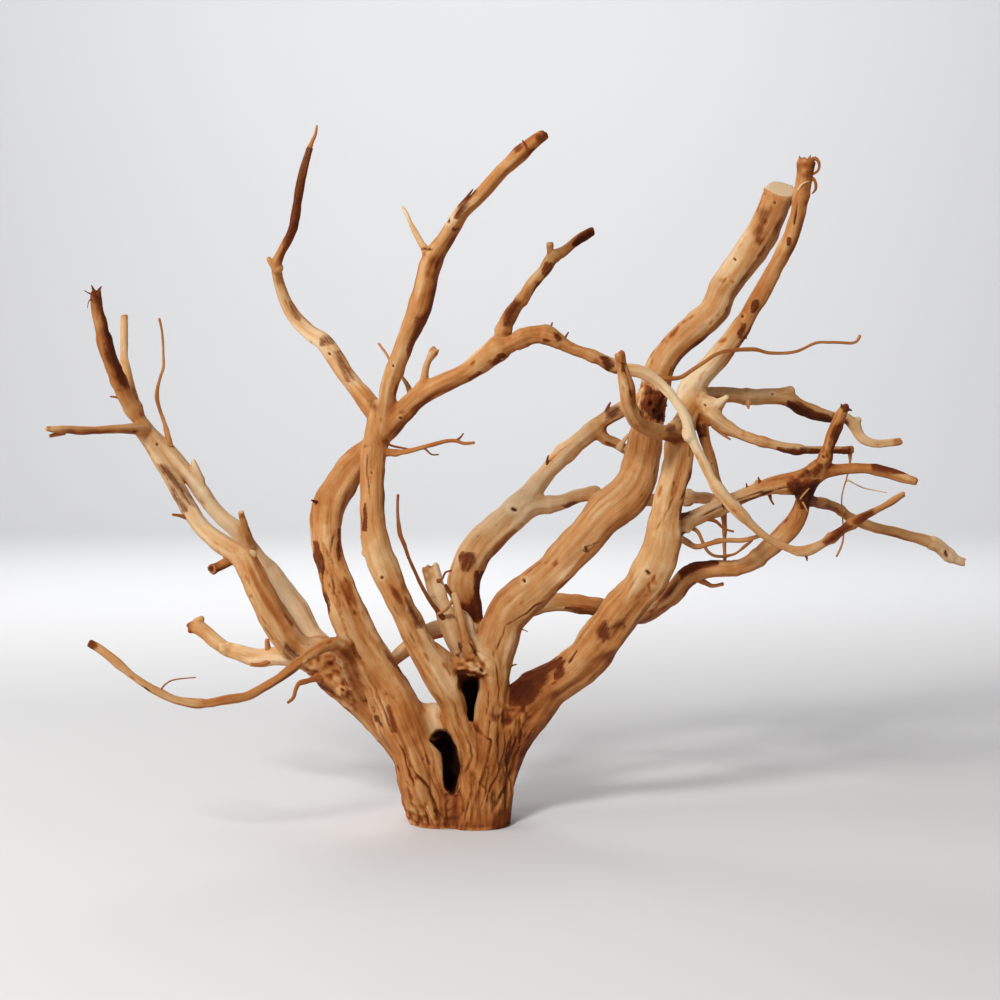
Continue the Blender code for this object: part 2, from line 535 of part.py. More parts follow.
# The saw cuts: the flat foot, and the top of the thick stem
cut(driftwood, block("foot_offcut", FOOT_OFFCUT_LOW, FOOT_OFFCUT_HIGH))
stem_offcut = block("stem_offcut", STEM_OFFCUT_LOW, STEM_OFFCUT_HIGH)
stem_offcut.location = placed(*STEM_CUT)[0]
stem_offcut.rotation_euler = (STEM_CUT_LEAN_FRONT, STEM_CUT_LEAN_RIGHT, 0.0)
cut(driftwood, stem_offcut)

# The rotted hollows
cut(driftwood, hollow("upper_hollow", UPPER_HOLLOW, HOLLOW_FRONT, UPPER_HOLLOW_BACK))
cut(driftwood, hollow("lower_hollow", LOWER_HOLLOW, HOLLOW_FRONT, LOWER_HOLLOW_BACK))

driftwood.data.materials.clear()
driftwood.data.materials.append(wood_material())
driftwood.data.shade_smooth()
driftwood.data.set_sharp_from_angle(angle=SHARP_EDGE)
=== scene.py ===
import itertools
import math

import bmesh
import bpy
import numpy as np
import openvdb
from mathutils import Matrix, Vector


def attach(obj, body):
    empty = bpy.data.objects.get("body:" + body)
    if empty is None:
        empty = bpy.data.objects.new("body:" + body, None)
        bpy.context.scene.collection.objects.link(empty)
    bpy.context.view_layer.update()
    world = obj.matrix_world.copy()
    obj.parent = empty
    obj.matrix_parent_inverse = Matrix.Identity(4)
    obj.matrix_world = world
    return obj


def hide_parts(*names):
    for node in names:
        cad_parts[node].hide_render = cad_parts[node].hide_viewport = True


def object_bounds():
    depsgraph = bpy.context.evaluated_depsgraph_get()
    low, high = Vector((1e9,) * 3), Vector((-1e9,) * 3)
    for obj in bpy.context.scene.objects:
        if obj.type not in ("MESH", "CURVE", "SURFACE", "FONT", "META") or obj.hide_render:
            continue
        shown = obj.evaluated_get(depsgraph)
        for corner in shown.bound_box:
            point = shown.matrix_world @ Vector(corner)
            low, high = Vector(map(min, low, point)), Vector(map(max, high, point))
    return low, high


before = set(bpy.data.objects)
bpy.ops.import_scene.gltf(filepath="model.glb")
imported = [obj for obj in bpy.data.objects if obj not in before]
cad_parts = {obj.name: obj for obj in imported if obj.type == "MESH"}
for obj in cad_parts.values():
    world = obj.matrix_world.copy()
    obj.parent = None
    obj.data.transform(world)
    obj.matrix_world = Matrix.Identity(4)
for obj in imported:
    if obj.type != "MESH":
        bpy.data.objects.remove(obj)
solid_box = [list(corner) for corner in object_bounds()]


# The stump
# The butt of the root, where all its stems run together. It is sawn flat so that it stands, the ribs of the
# stems run down its face with cracks between them, and rot has left two deep hollows in it.
SPREAD, SPREAD_STEPS = 0.570, 920  # the root's width in metres, and in steps of a picture at the foot
STEP = SPREAD / SPREAD_STEPS
PICTURE_STEPS, MIDDLE = 1000, 499.5
FOOT_ACROSS, FOOT_DOWN = 457, 819  # the middle of the foot in the picture
FOCAL_STEPS = 1855
LOOK_DOWN = math.radians(3.6)
DEPTH_STRETCH = 2.0  # depths are counted in steps this many times as long


def sight_ray(across, down):
    """The direction from the viewer's eye through a point of the picture, 1 long along the view."""
    right = (across - MIDDLE) / FOCAL_STEPS
    up = (MIDDLE - down) / FOCAL_STEPS
    cosine, sine = math.cos(LOOK_DOWN), math.sin(LOOK_DOWN)
    return np.array((right, cosine + up * sine, up * cosine - sine))


EYE = -sight_ray(FOOT_ACROSS, FOOT_DOWN) * FOCAL_STEPS * STEP


def placed(across, down, depth):
    """The point seen here in the picture, this far behind the foot's middle, and the size of a step there."""
    ray = sight_ray(across, down)
    far = (depth * STEP * DEPTH_STRETCH - EYE[1]) / ray[1]
    return EYE + ray * far, far / FOCAL_STEPS


def curved(stations, spacing):
    """Points with radii along a smooth curve through a limb's stations, each given in steps of the picture:
    across, down, depth and half-width."""
    knots = []
    for across, down, depth, half_width in stations:
        place, step = placed(across, down, depth)
        knots.append([*place, half_width * step])
    knots = np.array(knots)
    every = np.vstack([knots[:1], knots, knots[-1:]])
    points = []
    for before, start, end, after in zip(every, every[1:], every[2:], every[3:]):
        count = max(1, round(float(np.linalg.norm((end - start)[:3])) / spacing))
        t = np.arange(count)[:, None] / count
        slope = end - before
        bend = 2 * before - 5 * start + 4 * end - after
        twist = 3 * start - before - 3 * end + after
        points.append(start + (slope * t + bend * t**2 + twist * t**3) / 2)
    return np.vstack([*points, knots[-1:]])


def crosswise(points):
    """Two directions square to the limb at each of its points, turned as little as can be along it."""
    along = np.gradient(points[:, :3], axis=0)
    along /= np.linalg.norm(along, axis=1)[:, None]
    side = np.empty_like(along)
    last = np.cross(along[0], (0.1, 1.0, 0.2))
    for i, direction in enumerate(along):
        last = last - direction * (last @ direction)
        last = last / np.linalg.norm(last)
        side[i] = last
    return side, np.cross(along, side)


LATTICE_CELLS = 32
LATTICE = np.random.default_rng(11).uniform(-1.0, 1.0, (LATTICE_CELLS,) * 3).astype(np.float32)
SEED_SHIFT = 7.31


def wander(places, cell=1.0, seed=0.0):
    """A smooth random value from -1 to 1 at each place, which changes over cells of this size."""
    scaled = np.asarray(places) / (np.ones(3) * cell) + SEED_SHIFT * seed
    corner = np.floor(scaled).astype(np.int64)
    t = (scaled - corner).astype(np.float32)
    t = t * t * (3 - 2 * t)
    near = corner % LATTICE_CELLS
    far = (corner + 1) % LATTICE_CELLS
    value = 0.0
    for x, across in ((near[..., 0], 1 - t[..., 0]), (far[..., 0], t[..., 0])):
        for y, over in ((near[..., 1], 1 - t[..., 1]), (far[..., 1], t[..., 1])):
            for z, up in ((near[..., 2], 1 - t[..., 2]), (far[..., 2], t[..., 2])):
                value = value + LATTICE[x, y, z] * across * over * up
    return value


# The wood's body is a field of distances, in metres, to its skin: below zero is wood.
FINE = 0.0008  # the size of its cells
FIELD_MARGIN = 0.008
FAR = 0.015  # the largest distance that it holds
LEAST_FILLET, LARGEST_FILLET = 0.0006, 0.008
FIELD_LOW = np.array(solid_box[0]) - FIELD_MARGIN
FIELD_SHAPE = tuple(int(n) for n in np.ceil((np.array(solid_box[1]) + FIELD_MARGIN - FIELD_LOW) / FINE))
field = np.full(FIELD_SHAPE, FAR, np.float32)
limbs = []

# How a limb strays from its stations. Shares are of its radius.
LIMB_SPACING = 0.0025
SWAY_LENGTH, SWAY, THIN_SWAY = 0.018, 0.035, 0.13
THIN_BELOW, THIN_RANGE = 0.0065, 0.003  # a limb is thin below this radius, and fully so this much below it
SWELLING, KNUCKLE, KNUCKLE_FROM = 0.05, 0.75, 0.30
BULGE_ROOM, BLEND_ROOM = 1.2, 1.25
FINE_SPLINTER, BROAD_SPLINTER = 0.0021, 0.0045
TORN_BACK, TORN_DEEP = 0.35, 0.42


def cells(low, high):
    """The part of the field between two corners, as its first cell and the one past its last."""
    first = np.clip(np.floor((low - FIELD_LOW) / FINE), 0, FIELD_SHAPE).astype(int)
    last = np.clip(np.ceil((high - FIELD_LOW) / FINE) + 1, 0, FIELD_SHAPE).astype(int)
    return first, last


def cell_places(first, last):
    """The coordinates of a block of cells, one open array for each axis."""
    x, y, z = (np.arange(a, b, dtype=np.float32) * FINE + c for a, b, c in zip(first, last, FIELD_LOW))
    return x[:, None, None], y[None, :, None], z[None, None, :]


def grow(name, group, stations, tone=0.5, fluted=0.04, fillet=0.6, knobbly=1.0, broken=False):
    """Adds a limb to the wood. It is fluted lengthwise by a share of its radius, when its skin is made, and
    flows into the wood that is already there with a fillet as large as a share of its radius. A broken end
    is torn off square, in splinters."""
    points = curved(stations, LIMB_SPACING)
    seed = len(limbs) + 1
    run = np.concatenate([[0], np.cumsum(np.linalg.norm(np.diff(points[:, :3], axis=0), axis=1))])
    drift = np.stack([run / SWAY_LENGTH, run * 0 + seed, run * 0], 1)
    sway = np.stack([wander(drift, seed=k + seed) for k in (1, 2, 3)], 1)
    thin = np.clip((THIN_BELOW - points[:, 3]) / THIN_RANGE, 0, 1) * knobbly
    points[:, :3] += sway * ((SWAY * knobbly + THIN_SWAY * thin) * points[:, 3])[:, None]
    knuckles = np.maximum(wander(drift * (2.4, 1, 1), seed=seed + 6) - KNUCKLE_FROM, 0)
    swelling = wander(drift * (1.7, 1, 1), seed=seed + 5)
    points[:, 3] *= 1 + SWELLING * knobbly * swelling + KNUCKLE * thin * knuckles
    side, over = crosswise(points)
    limb = {
        "name": name, "group": group, "points": points, "side": side, "over": over, "run": run,
        "tone": np.interp(run, np.linspace(0, run[-1], np.size(tone)), np.atleast_1d(tone)), "fluted": fluted,
    }
    limbs.append(limb)

    radius_most = points[:, 3].max() * BULGE_ROOM
    reach = BLEND_ROOM * min(LARGEST_FILLET, radius_most * fillet) + 3 * FINE
    room = radius_most + reach
    first, last = cells(points[:, :3].min(0) - room, points[:, :3].max(0) + room)
    block = field[first[0]:last[0], first[1]:last[1], first[2]:last[2]]
    own = np.full(block.shape, FAR, np.float32)
    thick = np.zeros(block.shape, np.float32)
    for i in range(len(points) - 1):
        start, end = points[i], points[i + 1]
        far = max(start[3], end[3]) * BULGE_ROOM + reach
        low, high = np.minimum(start, end)[:3] - far, np.maximum(start, end)[:3] + far
        a, b = cells(low, high)
        x, y, z = cell_places(a, b)
        x, y, z = x - np.float32(start[0]), y - np.float32(start[1]), z - np.float32(start[2])
        dx, dy, dz = (float(d) for d in (end - start)[:3])
        t = np.clip((x * dx + y * dy + z * dz) / (dx * dx + dy * dy + dz * dz), 0, 1)
        x, y, z = x - t * dx, y - t * dy, z - t * dz
        away = np.sqrt(x * x + y * y + z * z)
        radius = np.float32(start[3]) + t * np.float32(end[3] - start[3])
        away -= radius
        inside = tuple(slice(p - f, q - f) for p, q, f in zip(a, b, first))
        closer = away < own[inside]
        own[inside] = np.where(closer, away, own[inside])
        thick[inside] = np.where(closer, radius, thick[inside])
    if broken:
        end, along = points[-1], points[-1, :3] - points[-3, :3]
        along = along / np.linalg.norm(along)
        a, b = cells(end[:3] - 4 * end[3], end[:3] + 4 * end[3])
        a, b = np.maximum(a, first), np.minimum(b, last)
        x, y, z = cell_places(a, b)
        x, y, z = x - end[0], y - end[1], z - end[2]
        ahead = x * along[0] + y * along[1] + z * along[2]
        across = np.stack([x - ahead * along[0], y - ahead * along[1], z - ahead * along[2]], -1)
        splinters = wander(across, FINE_SPLINTER, seed) + 0.7 * wander(across, BROAD_SPLINTER, seed + 2)
        torn = (ahead - (TORN_BACK + TORN_DEEP * splinters) * end[3]).astype(np.float32)
        inside = tuple(slice(p - f, q - f) for p, q, f in zip(a, b, first))
        tip = own[inside]
        own[inside] = np.where((tip < FAR) & (ahead > -2.5 * end[3]), np.maximum(tip, torn), tip)
        limb["end"] = (end[:3], end[3])
    width = np.clip(thick * fillet, LEAST_FILLET, LARGEST_FILLET)
    blend = np.maximum(width - np.abs(block - own), 0) / width
    block[...] = np.where(own < FAR, np.minimum(block, own) - blend * blend * width / 4, block)


grow("stump", "stump", [
    (459, 860, 2, 44), (459, 819, 2, 44), (457, 800, 2, 44.5), (458, 785, 3, 43), (459, 768, 4, 40),
    (461, 750, 5, 36), (464, 732, 7, 31), (467, 712, 9, 26), (470, 690, 10, 20), (471, 672, 12, 15),
], tone=0.36, fluted=0.03)
grow("right_rib", "stump", [
    (487, 860, -8, 21), (488, 820, -8, 21), (490, 800, -5, 21), (496, 775, -2, 21), (501, 760, 0, 20),
    (509, 738, 0, 21), (519, 717, -2, 22), (536, 696, -4, 21),
], tone=0.36, fluted=0.04, fillet=0.25)
grow("left_rib", "stump", [
    (436, 860, 6, 21), (433, 826, 6, 20.5), (422, 800, 8, 21), (415, 775, 9, 20.5), (406, 748, 9, 20),
    (387, 722, 8, 19.5), (358, 694, 7, 19.5), (335, 672, 8, 21), (318, 655, 8, 18),
], tone=0.44, fluted=0.04, fillet=0.25)
grow("front_rib", "stump", [
    (468, 860, -15, 23), (469, 800, -13, 19), (467, 770, -12, 17), (463, 744, -11, 15),
    (457, 722, -12, 13.5),
], tone=0.45, fluted=0.05, fillet=0.2)
grow("back_rib", "stump", [
    (470, 860, 10, 32), (472, 770, 12, 30), (474, 710, 16, 24), (472, 665, 20, 16),
], tone=0.4, fluted=0.05, fillet=0.25)
grow("saddle", "stump", [(448, 748, -6, 15), (437, 727, -6, 15), (433, 716, -6, 14)], tone=0.85, fluted=0)


marks = []


def mark(kind, limb_names, *rows):
    """Notes marks on the front of some limbs. A row is for one crack, knot or stain along a line: its
    half-width in steps of the picture, its depth (a stain's darkness) and the points of the line. Or it is
    for one patch of bark or rough stretch in an outline: its strength or height and the outline's points."""
    sizes = 1 if kind in ("patch", "rough") else 2
    for row in rows:
        marks.append((kind, limb_names.split(), row[:sizes], np.array(row[sizes:], float)))


STUMP_LIMBS = "stump right_rib left_rib front_rib left_stem thick_stem middle_stem second_stem saddle"
mark("crack", STUMP_LIMBS,
    (1.5, 0.0011, (334, 588), (340, 605), (343, 622), (352, 645), (364, 670), (375, 695), (386, 722),
        (396, 741)),
    (1.3, 0.0009, (396, 741), (402, 750), (410, 763), (413, 770), (421, 780), (430, 789), (432, 797),
        (436, 804), (437, 818), (436, 830)),
    (1.2, 0.0009, (456, 715), (463, 729), (470, 743), (472, 755), (467, 767), (461, 777)),
    (1.3, 0.0011, (471, 717), (479, 732), (490, 740), (491, 744), (488, 752), (487, 761), (483, 772),
        (480, 783), (478, 794), (472, 808), (469, 826)),
    (1.1, 0.0008, (476, 743), (478, 749), (477, 760), (474, 777), (472, 791), (467, 804), (464, 814),
        (463, 826)),
    (1.1, 0.0008, (475, 779), (481, 783), (486, 790), (483, 801), (478, 812), (476, 826)),
    (1, 0.0006, (489, 719), (488, 727), (488, 736)),
    (1, 0.0007, (504, 727), (505, 741), (504, 752), (500, 763), (497, 776), (490, 789), (486, 800),
        (484, 812)),
    (1.1, 0.0008, (509, 725), (511, 736), (510, 752), (509, 764), (506, 778), (504, 789), (498, 801),
        (491, 812)),
    (1, 0.0007, (514, 715), (515, 725), (515, 741), (512, 756), (509, 770)),
    (1, 0.0007, (520, 710), (519, 721), (521, 733), (520, 749), (516, 761), (514, 770)),
    (2, 0.001, (514, 768), (508, 782), (505, 795)),
    (1.2, 0.0008, (449, 797), (446, 804), (446, 820), (445, 830)),
    (1, 0.0006, (454, 807), (447, 811)),
    (1, 0.0005, (398, 742), (404, 757), (408, 772), (414, 787)),
    (1, 0.0005, (446, 708), (452, 724), (459, 742), (461, 758), (458, 772)),
    (0.9, 0.0005, (499, 730), (499, 750), (495, 766), (489, 780)),
    (1.2, 0.0008, (492, 648), (493, 655), (497, 672), (499, 690), (497, 704)),
    (0.9, 0.0005, (484, 672), (487, 685), (488, 700), (486, 716)),
    (0.9, 0.0005, (453, 700), (456, 712), (463, 722)),
    (0.9, 0.0004, (350, 660), (362, 690), (372, 712), (386, 735)),
    (1.4, 0.0008, (410, 800), (416, 812), (418, 826)),
    (1.4, 0.0008, (427, 798), (425, 812), (428, 826)),
)
mark("patch", STUMP_LIMBS,
    (0.75, (384, 706), (389, 704), (395, 718), (397, 731), (392, 733), (387, 722)),
    (0.75, (491, 704), (496, 704), (494, 712), (500, 714), (496, 723), (489, 722), (488, 714)),
    (0.75, (497, 808), (508, 806), (513, 816), (512, 836), (492, 836), (490, 822)),
)
mark("rough", STUMP_LIMBS,
    (0.0012, (500, 702), (512, 700), (528, 702), (532, 712), (526, 724), (514, 722), (504, 728), (498, 720)),
    (0.0006, (400, 808), (412, 804), (430, 806), (440, 810), (441, 836), (400, 836)),
)
mark("stain", STUMP_LIMBS,
    (7, 0.2, (503, 716), (512, 708), (524, 708)),
    (12, 0.12, (380, 690), (395, 715), (410, 740)),
)


# Colours of the wood, from its darkest stretches to its palest, as linear light
WOOD_TONES = [
    (0.00, (0.085, 0.017, 0.004)), (0.24, (0.235, 0.056, 0.011)), (0.46, (0.43, 0.153, 0.036)),
    (0.70, (0.58, 0.310, 0.120)), (1.00, (0.78, 0.600, 0.380)),
]
BARK_TONES = [(0.0, (0.032, 0.006, 0.002)), (0.5, (0.135, 0.027, 0.006)), (1.0, (0.29, 0.068, 0.015))]
CRACK_COLOUR = (0.095, 0.025, 0.006, 1.0)
ROT_COLOUR = (0.030, 0.009, 0.006, 1.0)
SAWN_TONES = [(0.0, (0.66, 0.42, 0.22)), (1.0, (0.90, 0.70, 0.47))]


class Shading:
    """Short names for the nodes of one material."""

    def __init__(self, name):
        self.material = bpy.data.materials.new(name)
        self.material.use_nodes = True
        self.tree = self.material.node_tree
        self.shader = self.tree.nodes["Principled BSDF"]

    def node(self, kind, settings=(), **inputs):
        node = self.tree.nodes.new("ShaderNode" + kind)
        for key, value in dict(settings).items():
            setattr(node, key, value)
        for key, value in inputs.items():
            self.put(node.inputs[key.replace("_", " ")], value)
        return node

    def put(self, socket, value):
        if isinstance(value, bpy.types.NodeSocket):
            self.tree.links.new(value, socket)
        else:
            socket.default_value = value

    def attribute(self, name):
        return self.node("Attribute", {"attribute_name": name})

    def reckon(self, operation, a, b=0.0):
        node = self.node("Math", {"operation": operation})
        self.put(node.inputs[0], a)
        self.put(node.inputs[1], b)
        return node.outputs[0]

    def plus(self, a, b):
        return self.reckon("ADD", a, b)

    def less(self, a, b):
        return self.reckon("SUBTRACT", a, b)

    def times(self, a, b):
        return self.reckon("MULTIPLY", a, b)

    def between(self, value, low, high):
        """The value carried smoothly from a range to 0 to 1, and held at its ends."""
        smoothly = {"interpolation_type": "SMOOTHSTEP"}
        return self.node("MapRange", smoothly, Value=value, From_Min=low, From_Max=high).outputs["Result"]

    def ramp(self, value, tones):
        node = self.node("ValToRGB", Fac=value)
        node.color_ramp.interpolation = "B_SPLINE" if len(tones) > 2 else "LINEAR"
        while len(node.color_ramp.elements) < len(tones):
            node.color_ramp.elements.new(0.5)
        for element, (place, colour) in zip(node.color_ramp.elements, tones):
            element.position = place
            element.color = (*colour, 1.0)
        return node.outputs["Color"]

    def mixed(self, share, one, other):
        node = self.node("Mix", {"data_type": "RGBA"}, Factor=share)
        self.put(node.inputs[6], one)
        self.put(node.inputs[7], other)
        return node.outputs[2]

    def noise(self, vector, scale, detail, roughness=0.55, distortion=0.0):
        node = self.node("TexNoise", Vector=vector, Scale=scale, Detail=detail, Roughness=roughness,
                         Distortion=distortion)
        return node.outputs["Fac"]

    def stretched(self, vector, scale):
        node = self.node("Mapping", Vector=vector, Scale=scale)
        return node.outputs["Vector"]


# Size of the patterns, in lumps per metre along and across the grain or all round, and how strongly each
# changes the wood's tone
FIBRE_SCALE, STREAK_SCALE = (55.0, 1500.0, 1500.0), (11.0, 210.0, 210.0)
CLOUD_SCALE, FLECK_SCALE = 34.0, 420.0
FIBRE_TONE, STREAK_TONE, CLOUD_TONE, FLECK_TONE = 0.24, 0.58, 0.42, 0.10
RING_SCALE, RING_WAVER, RING_TONE = 2600.0, 0.006, 0.05
WOOD_GLOSS = 0.09


def along_the_grain(wood, scale, **how):
    """Noise drawn out along the grain, faded from one limb's grain to the next where they join."""
    one = wood.noise(wood.stretched(wood.attribute("grain").outputs["Vector"], scale), 1.0, **how)
    other = wood.noise(wood.stretched(wood.attribute("grain_other").outputs["Vector"], scale), 1.0, **how)
    share = wood.attribute("share").outputs["Fac"]
    return wood.plus(one, wood.times(share, wood.less(other, one)))


def bare_wood():
    """Sanded root wood: fine fibres and broader streaks along the grain, stains, bark left in patches, dark
    cracks, black rot in the hollows and rings on the sawn faces."""
    wood = Shading("Bare root wood")
    place = wood.node("TexCoord").outputs["Object"]
    fibres = along_the_grain(wood, FIBRE_SCALE, detail=2.0)
    streaks = along_the_grain(wood, STREAK_SCALE, detail=3.0, roughness=0.6, distortion=0.3)
    clouds = wood.noise(place, CLOUD_SCALE, detail=3.0, roughness=0.6)
    flecks = wood.noise(place, FLECK_SCALE, detail=2.0, roughness=0.6)

    tone = wood.attribute("tone").outputs["Fac"]
    for pattern, strength in (
        (streaks, STREAK_TONE), (fibres, FIBRE_TONE), (clouds, CLOUD_TONE), (flecks, FLECK_TONE),
    ):
        tone = wood.plus(tone, wood.times(wood.less(pattern, 0.5), strength))
    colour = wood.ramp(tone, WOOD_TONES)

    bark = wood.times(wood.less(wood.plus(streaks, fibres), 1.0), 0.9)
    left_on = wood.attribute("bark").outputs["Fac"]
    bark = wood.between(wood.plus(left_on, bark), 0.12, 0.80)
    mottle = wood.plus(wood.times(clouds, 0.5), wood.times(streaks, 0.5))
    mottle = wood.times(wood.between(mottle, 0.32, 0.68), 0.5)
    mottle = wood.plus(mottle, wood.times(wood.less(1.15, left_on), 0.55))
    colour = wood.mixed(bark, colour, wood.ramp(mottle, BARK_TONES))
    crack = wood.between(wood.attribute("crack").outputs["Fac"], 0.15, 0.95)
    colour = wood.mixed(crack, colour, CRACK_COLOUR)

    grain = wood.node("SeparateXYZ", Vector=wood.attribute("grain").outputs["Vector"])
    across, over = grain.outputs["Y"], grain.outputs["Z"]
    away = wood.reckon("SQRT", wood.plus(wood.times(across, across), wood.times(over, over)))
    away = wood.plus(away, wood.times(clouds, RING_WAVER))
    rings = wood.reckon("SINE", wood.times(away, RING_SCALE))
    rings = wood.plus(wood.times(rings, RING_TONE), clouds)
    sawn = wood.between(wood.attribute("sawn").outputs["Fac"], 0.35, 0.65)
    colour = wood.mixed(sawn, colour, wood.ramp(rings, SAWN_TONES))
    rot = wood.between(wood.attribute("rot").outputs["Fac"], 0.1, 0.8)
    colour = wood.mixed(rot, colour, ROT_COLOUR)

    wood.put(wood.shader.inputs["Base Color"], colour)
    rough = wood.plus(wood.times(streaks, 0.20), wood.times(flecks, 0.18))
    rough = wood.plus(wood.plus(rough, 0.40), wood.times(bark, 0.15))
    wood.put(wood.shader.inputs["Roughness"], rough)
    wood.shader.inputs["Specular IOR Level"].default_value = WOOD_GLOSS

    height = wood.plus(wood.times(fibres, 0.00030), wood.times(streaks, 0.00090))
    height = wood.plus(height, wood.times(wood.times(flecks, bark), 0.00160))
    height = wood.plus(height, wood.times(flecks, 0.00012))
    relief = wood.node("Bump", Height=height, Strength=0.8, Distance=1.0)
    wood.put(wood.shader.inputs["Normal"], relief.outputs["Normal"])
    return wood.material


root_wood = bare_wood()


def wooden_piece(name, mesh):
    """Puts a mesh of the root's own wood into the scene as one piece."""
    mesh.materials.append(root_wood)
    piece = bpy.data.objects.new(name, mesh)
    bpy.context.scene.collection.objects.link(piece)
    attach(piece, "root")
    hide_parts("driftwood")


# The two brown stems left of the middle
# Smooth, sanded stems that rise from the left of the stump and cross where they bend. Above the crossing they
# part into a long thin branch to the far left, a tall branch and two shorter ones, some with burnt tips.
grow("left_stem", "left_stems", [
    (440, 860, -8, 25), (438, 826, -8, 24.5), (428, 800, -10, 24.5), (419, 765, -10, 24.5),
    (408, 735, -9, 24.5), (396, 705, -8, 24), (385, 682, -9, 21.5), (372, 660, -10, 20), (360, 640, -12, 19),
    (350, 620, -12, 18), (343, 600, -12, 17), (336, 580, -10, 15.6), (330, 560, -6, 14.6),
    (327, 540, 0, 14.6), (327, 520, 6, 15.2), (331, 502, 12, 15.6), (344, 479, 16, 15), (358, 463, 16, 14),
    (370, 450, 12, 12.6), (376, 440, 6, 11),
], tone=0.5)
grow("middle_stem", "left_stems", [
    (464, 745, -12, 15), (457, 722, -13, 13.5), (452, 702, -15, 12.5), (444, 684, -17, 15),
    (431, 662, -18, 15), (418, 641, -20, 13.8), (408, 620, -22, 13.2), (398, 600, -24, 12.8),
    (389, 580, -24, 13), (381, 560, -22, 13), (375, 540, -20, 12.8), (372, 520, -16, 12.4),
    (372, 500, -12, 12.3), (373, 460, -4, 12), (375, 442, 0, 12.5), (378, 425, 0, 12.5), (381, 410, 0, 10),
], tone=0.5, fillet=0.45)
grow("far_left_branch", "left_branches", [
    (379, 418, 2, 10.5), (367, 402, 8, 9.8), (355.5, 387, 14, 8.6), (344, 371.5, 20, 8.6),
    (325.5, 344, 28, 8.6), (314, 335.5, 32, 7.4), (301.5, 325, 36, 7), (291, 312, 38, 6.6),
    (284, 298, 38, 6), (279, 284, 36, 5.6), (276.5, 272, 32, 5.2), (276, 262, 28, 4.8), (281, 251, 24, 4.4),
    (292, 228, 16, 4.6), (297, 200, 8, 3.9), (303, 170, 0, 3.8), (309, 149, -6, 3.2),
], tone=(0.5, 0.5, 0.62, 0.66, 0.6, 0.45, 0.34, 0.34, 0.32, 0.5), knobbly=0.5)
grow("tall_branch", "left_branches", [
    (384, 432, -2, 9), (385, 417, -8, 8.6), (387, 400, -14, 8.4), (390, 381, -18, 9), (405, 341, -26, 9.6),
    (414.5, 321, -30, 10.8), (421, 300, -34, 11), (430, 264, -38, 10.6), (437, 250, -42, 9.4),
    (446.5, 237, -46, 8.2), (463, 210, -54, 8), (477, 197, -58, 7.5), (501.5, 169.5, -65, 7),
    (529, 144.5, -70, 6.6), (543, 134.5, -72, 6),
], tone=(0.5, 0.5, 0.5, 0.35), broken=True, knobbly=0.5)
grow("tall_branch_spur", "left_branches", [
    (428, 258, -39, 5), (424, 248, -38, 3.8), (418.5, 239, -36, 3.3), (413.5, 229, -34, 2.9),
    (409, 220, -32, 2.4), (405.5, 212, -29, 2), (401.5, 206, -27, 1.5),
], tone=(0.5, 0.75), fillet=0.3)
grow("middle_branch", "left_branches", [
    (388, 428, -4, 9.8), (397, 417.5, -10, 10), (408, 405.5, -16, 10.4), (420, 395, -22, 10.8),
    (435, 386, -28, 10.2), (452, 378.5, -32, 9.6), (468, 370.5, -36, 10), (483, 359.5, -40, 10.3),
    (497.5, 348, -44, 11),
], tone=0.5)
grow("middle_branch_spur", "left_branches", [
    (423, 388, -24, 6), (424, 377, -26, 4.2), (426, 366, -28, 3.7), (430, 357, -30, 3.6),
    (435, 349, -32, 3.9),
], tone=(0.45, 0.4, 0.6), fillet=0.5, broken=True)
grow("burnt_branch", "left_branches", [
    (498, 350, -44, 9), (502.5, 330.5, -40, 6.8), (510.5, 315, -36, 7), (521, 300.5, -32, 6.2),
    (531, 284, -28, 6), (543, 270, -24, 6.4), (551, 257.5, -20, 6.4), (564, 249.5, -17, 5.2),
    (576, 240, -14, 4.8), (590.5, 231, -10, 4.2),
], tone=(0.45, 0.42, 0.38, 0.4, 0.2), broken=True)
grow("burnt_branch_stub", "left_branches", [
    (550, 259, -20, 4), (549.5, 251, -20, 3.2), (549.5, 243, -21, 3.4),
], tone=0.6, fillet=0.4, broken=True)


# A twig's rings and how it strays. Shares are of its radius.
TWIG_SPACING, TWIG_FACET, LEAST_SIDES, MOST_SIDES = 0.0011, 0.00035, 7, 14
TWIG_SWAY_LENGTH, TWIG_SWAY, TWIG_SWELLING, TWIG_KNUCKLE, TWIG_KNUCKLE_FROM = 0.009, 0.3, 0.10, 0.7, 0.35
TWIG_GRAIN_SHIFT, TWIG_TIP = 0.37, 0.6


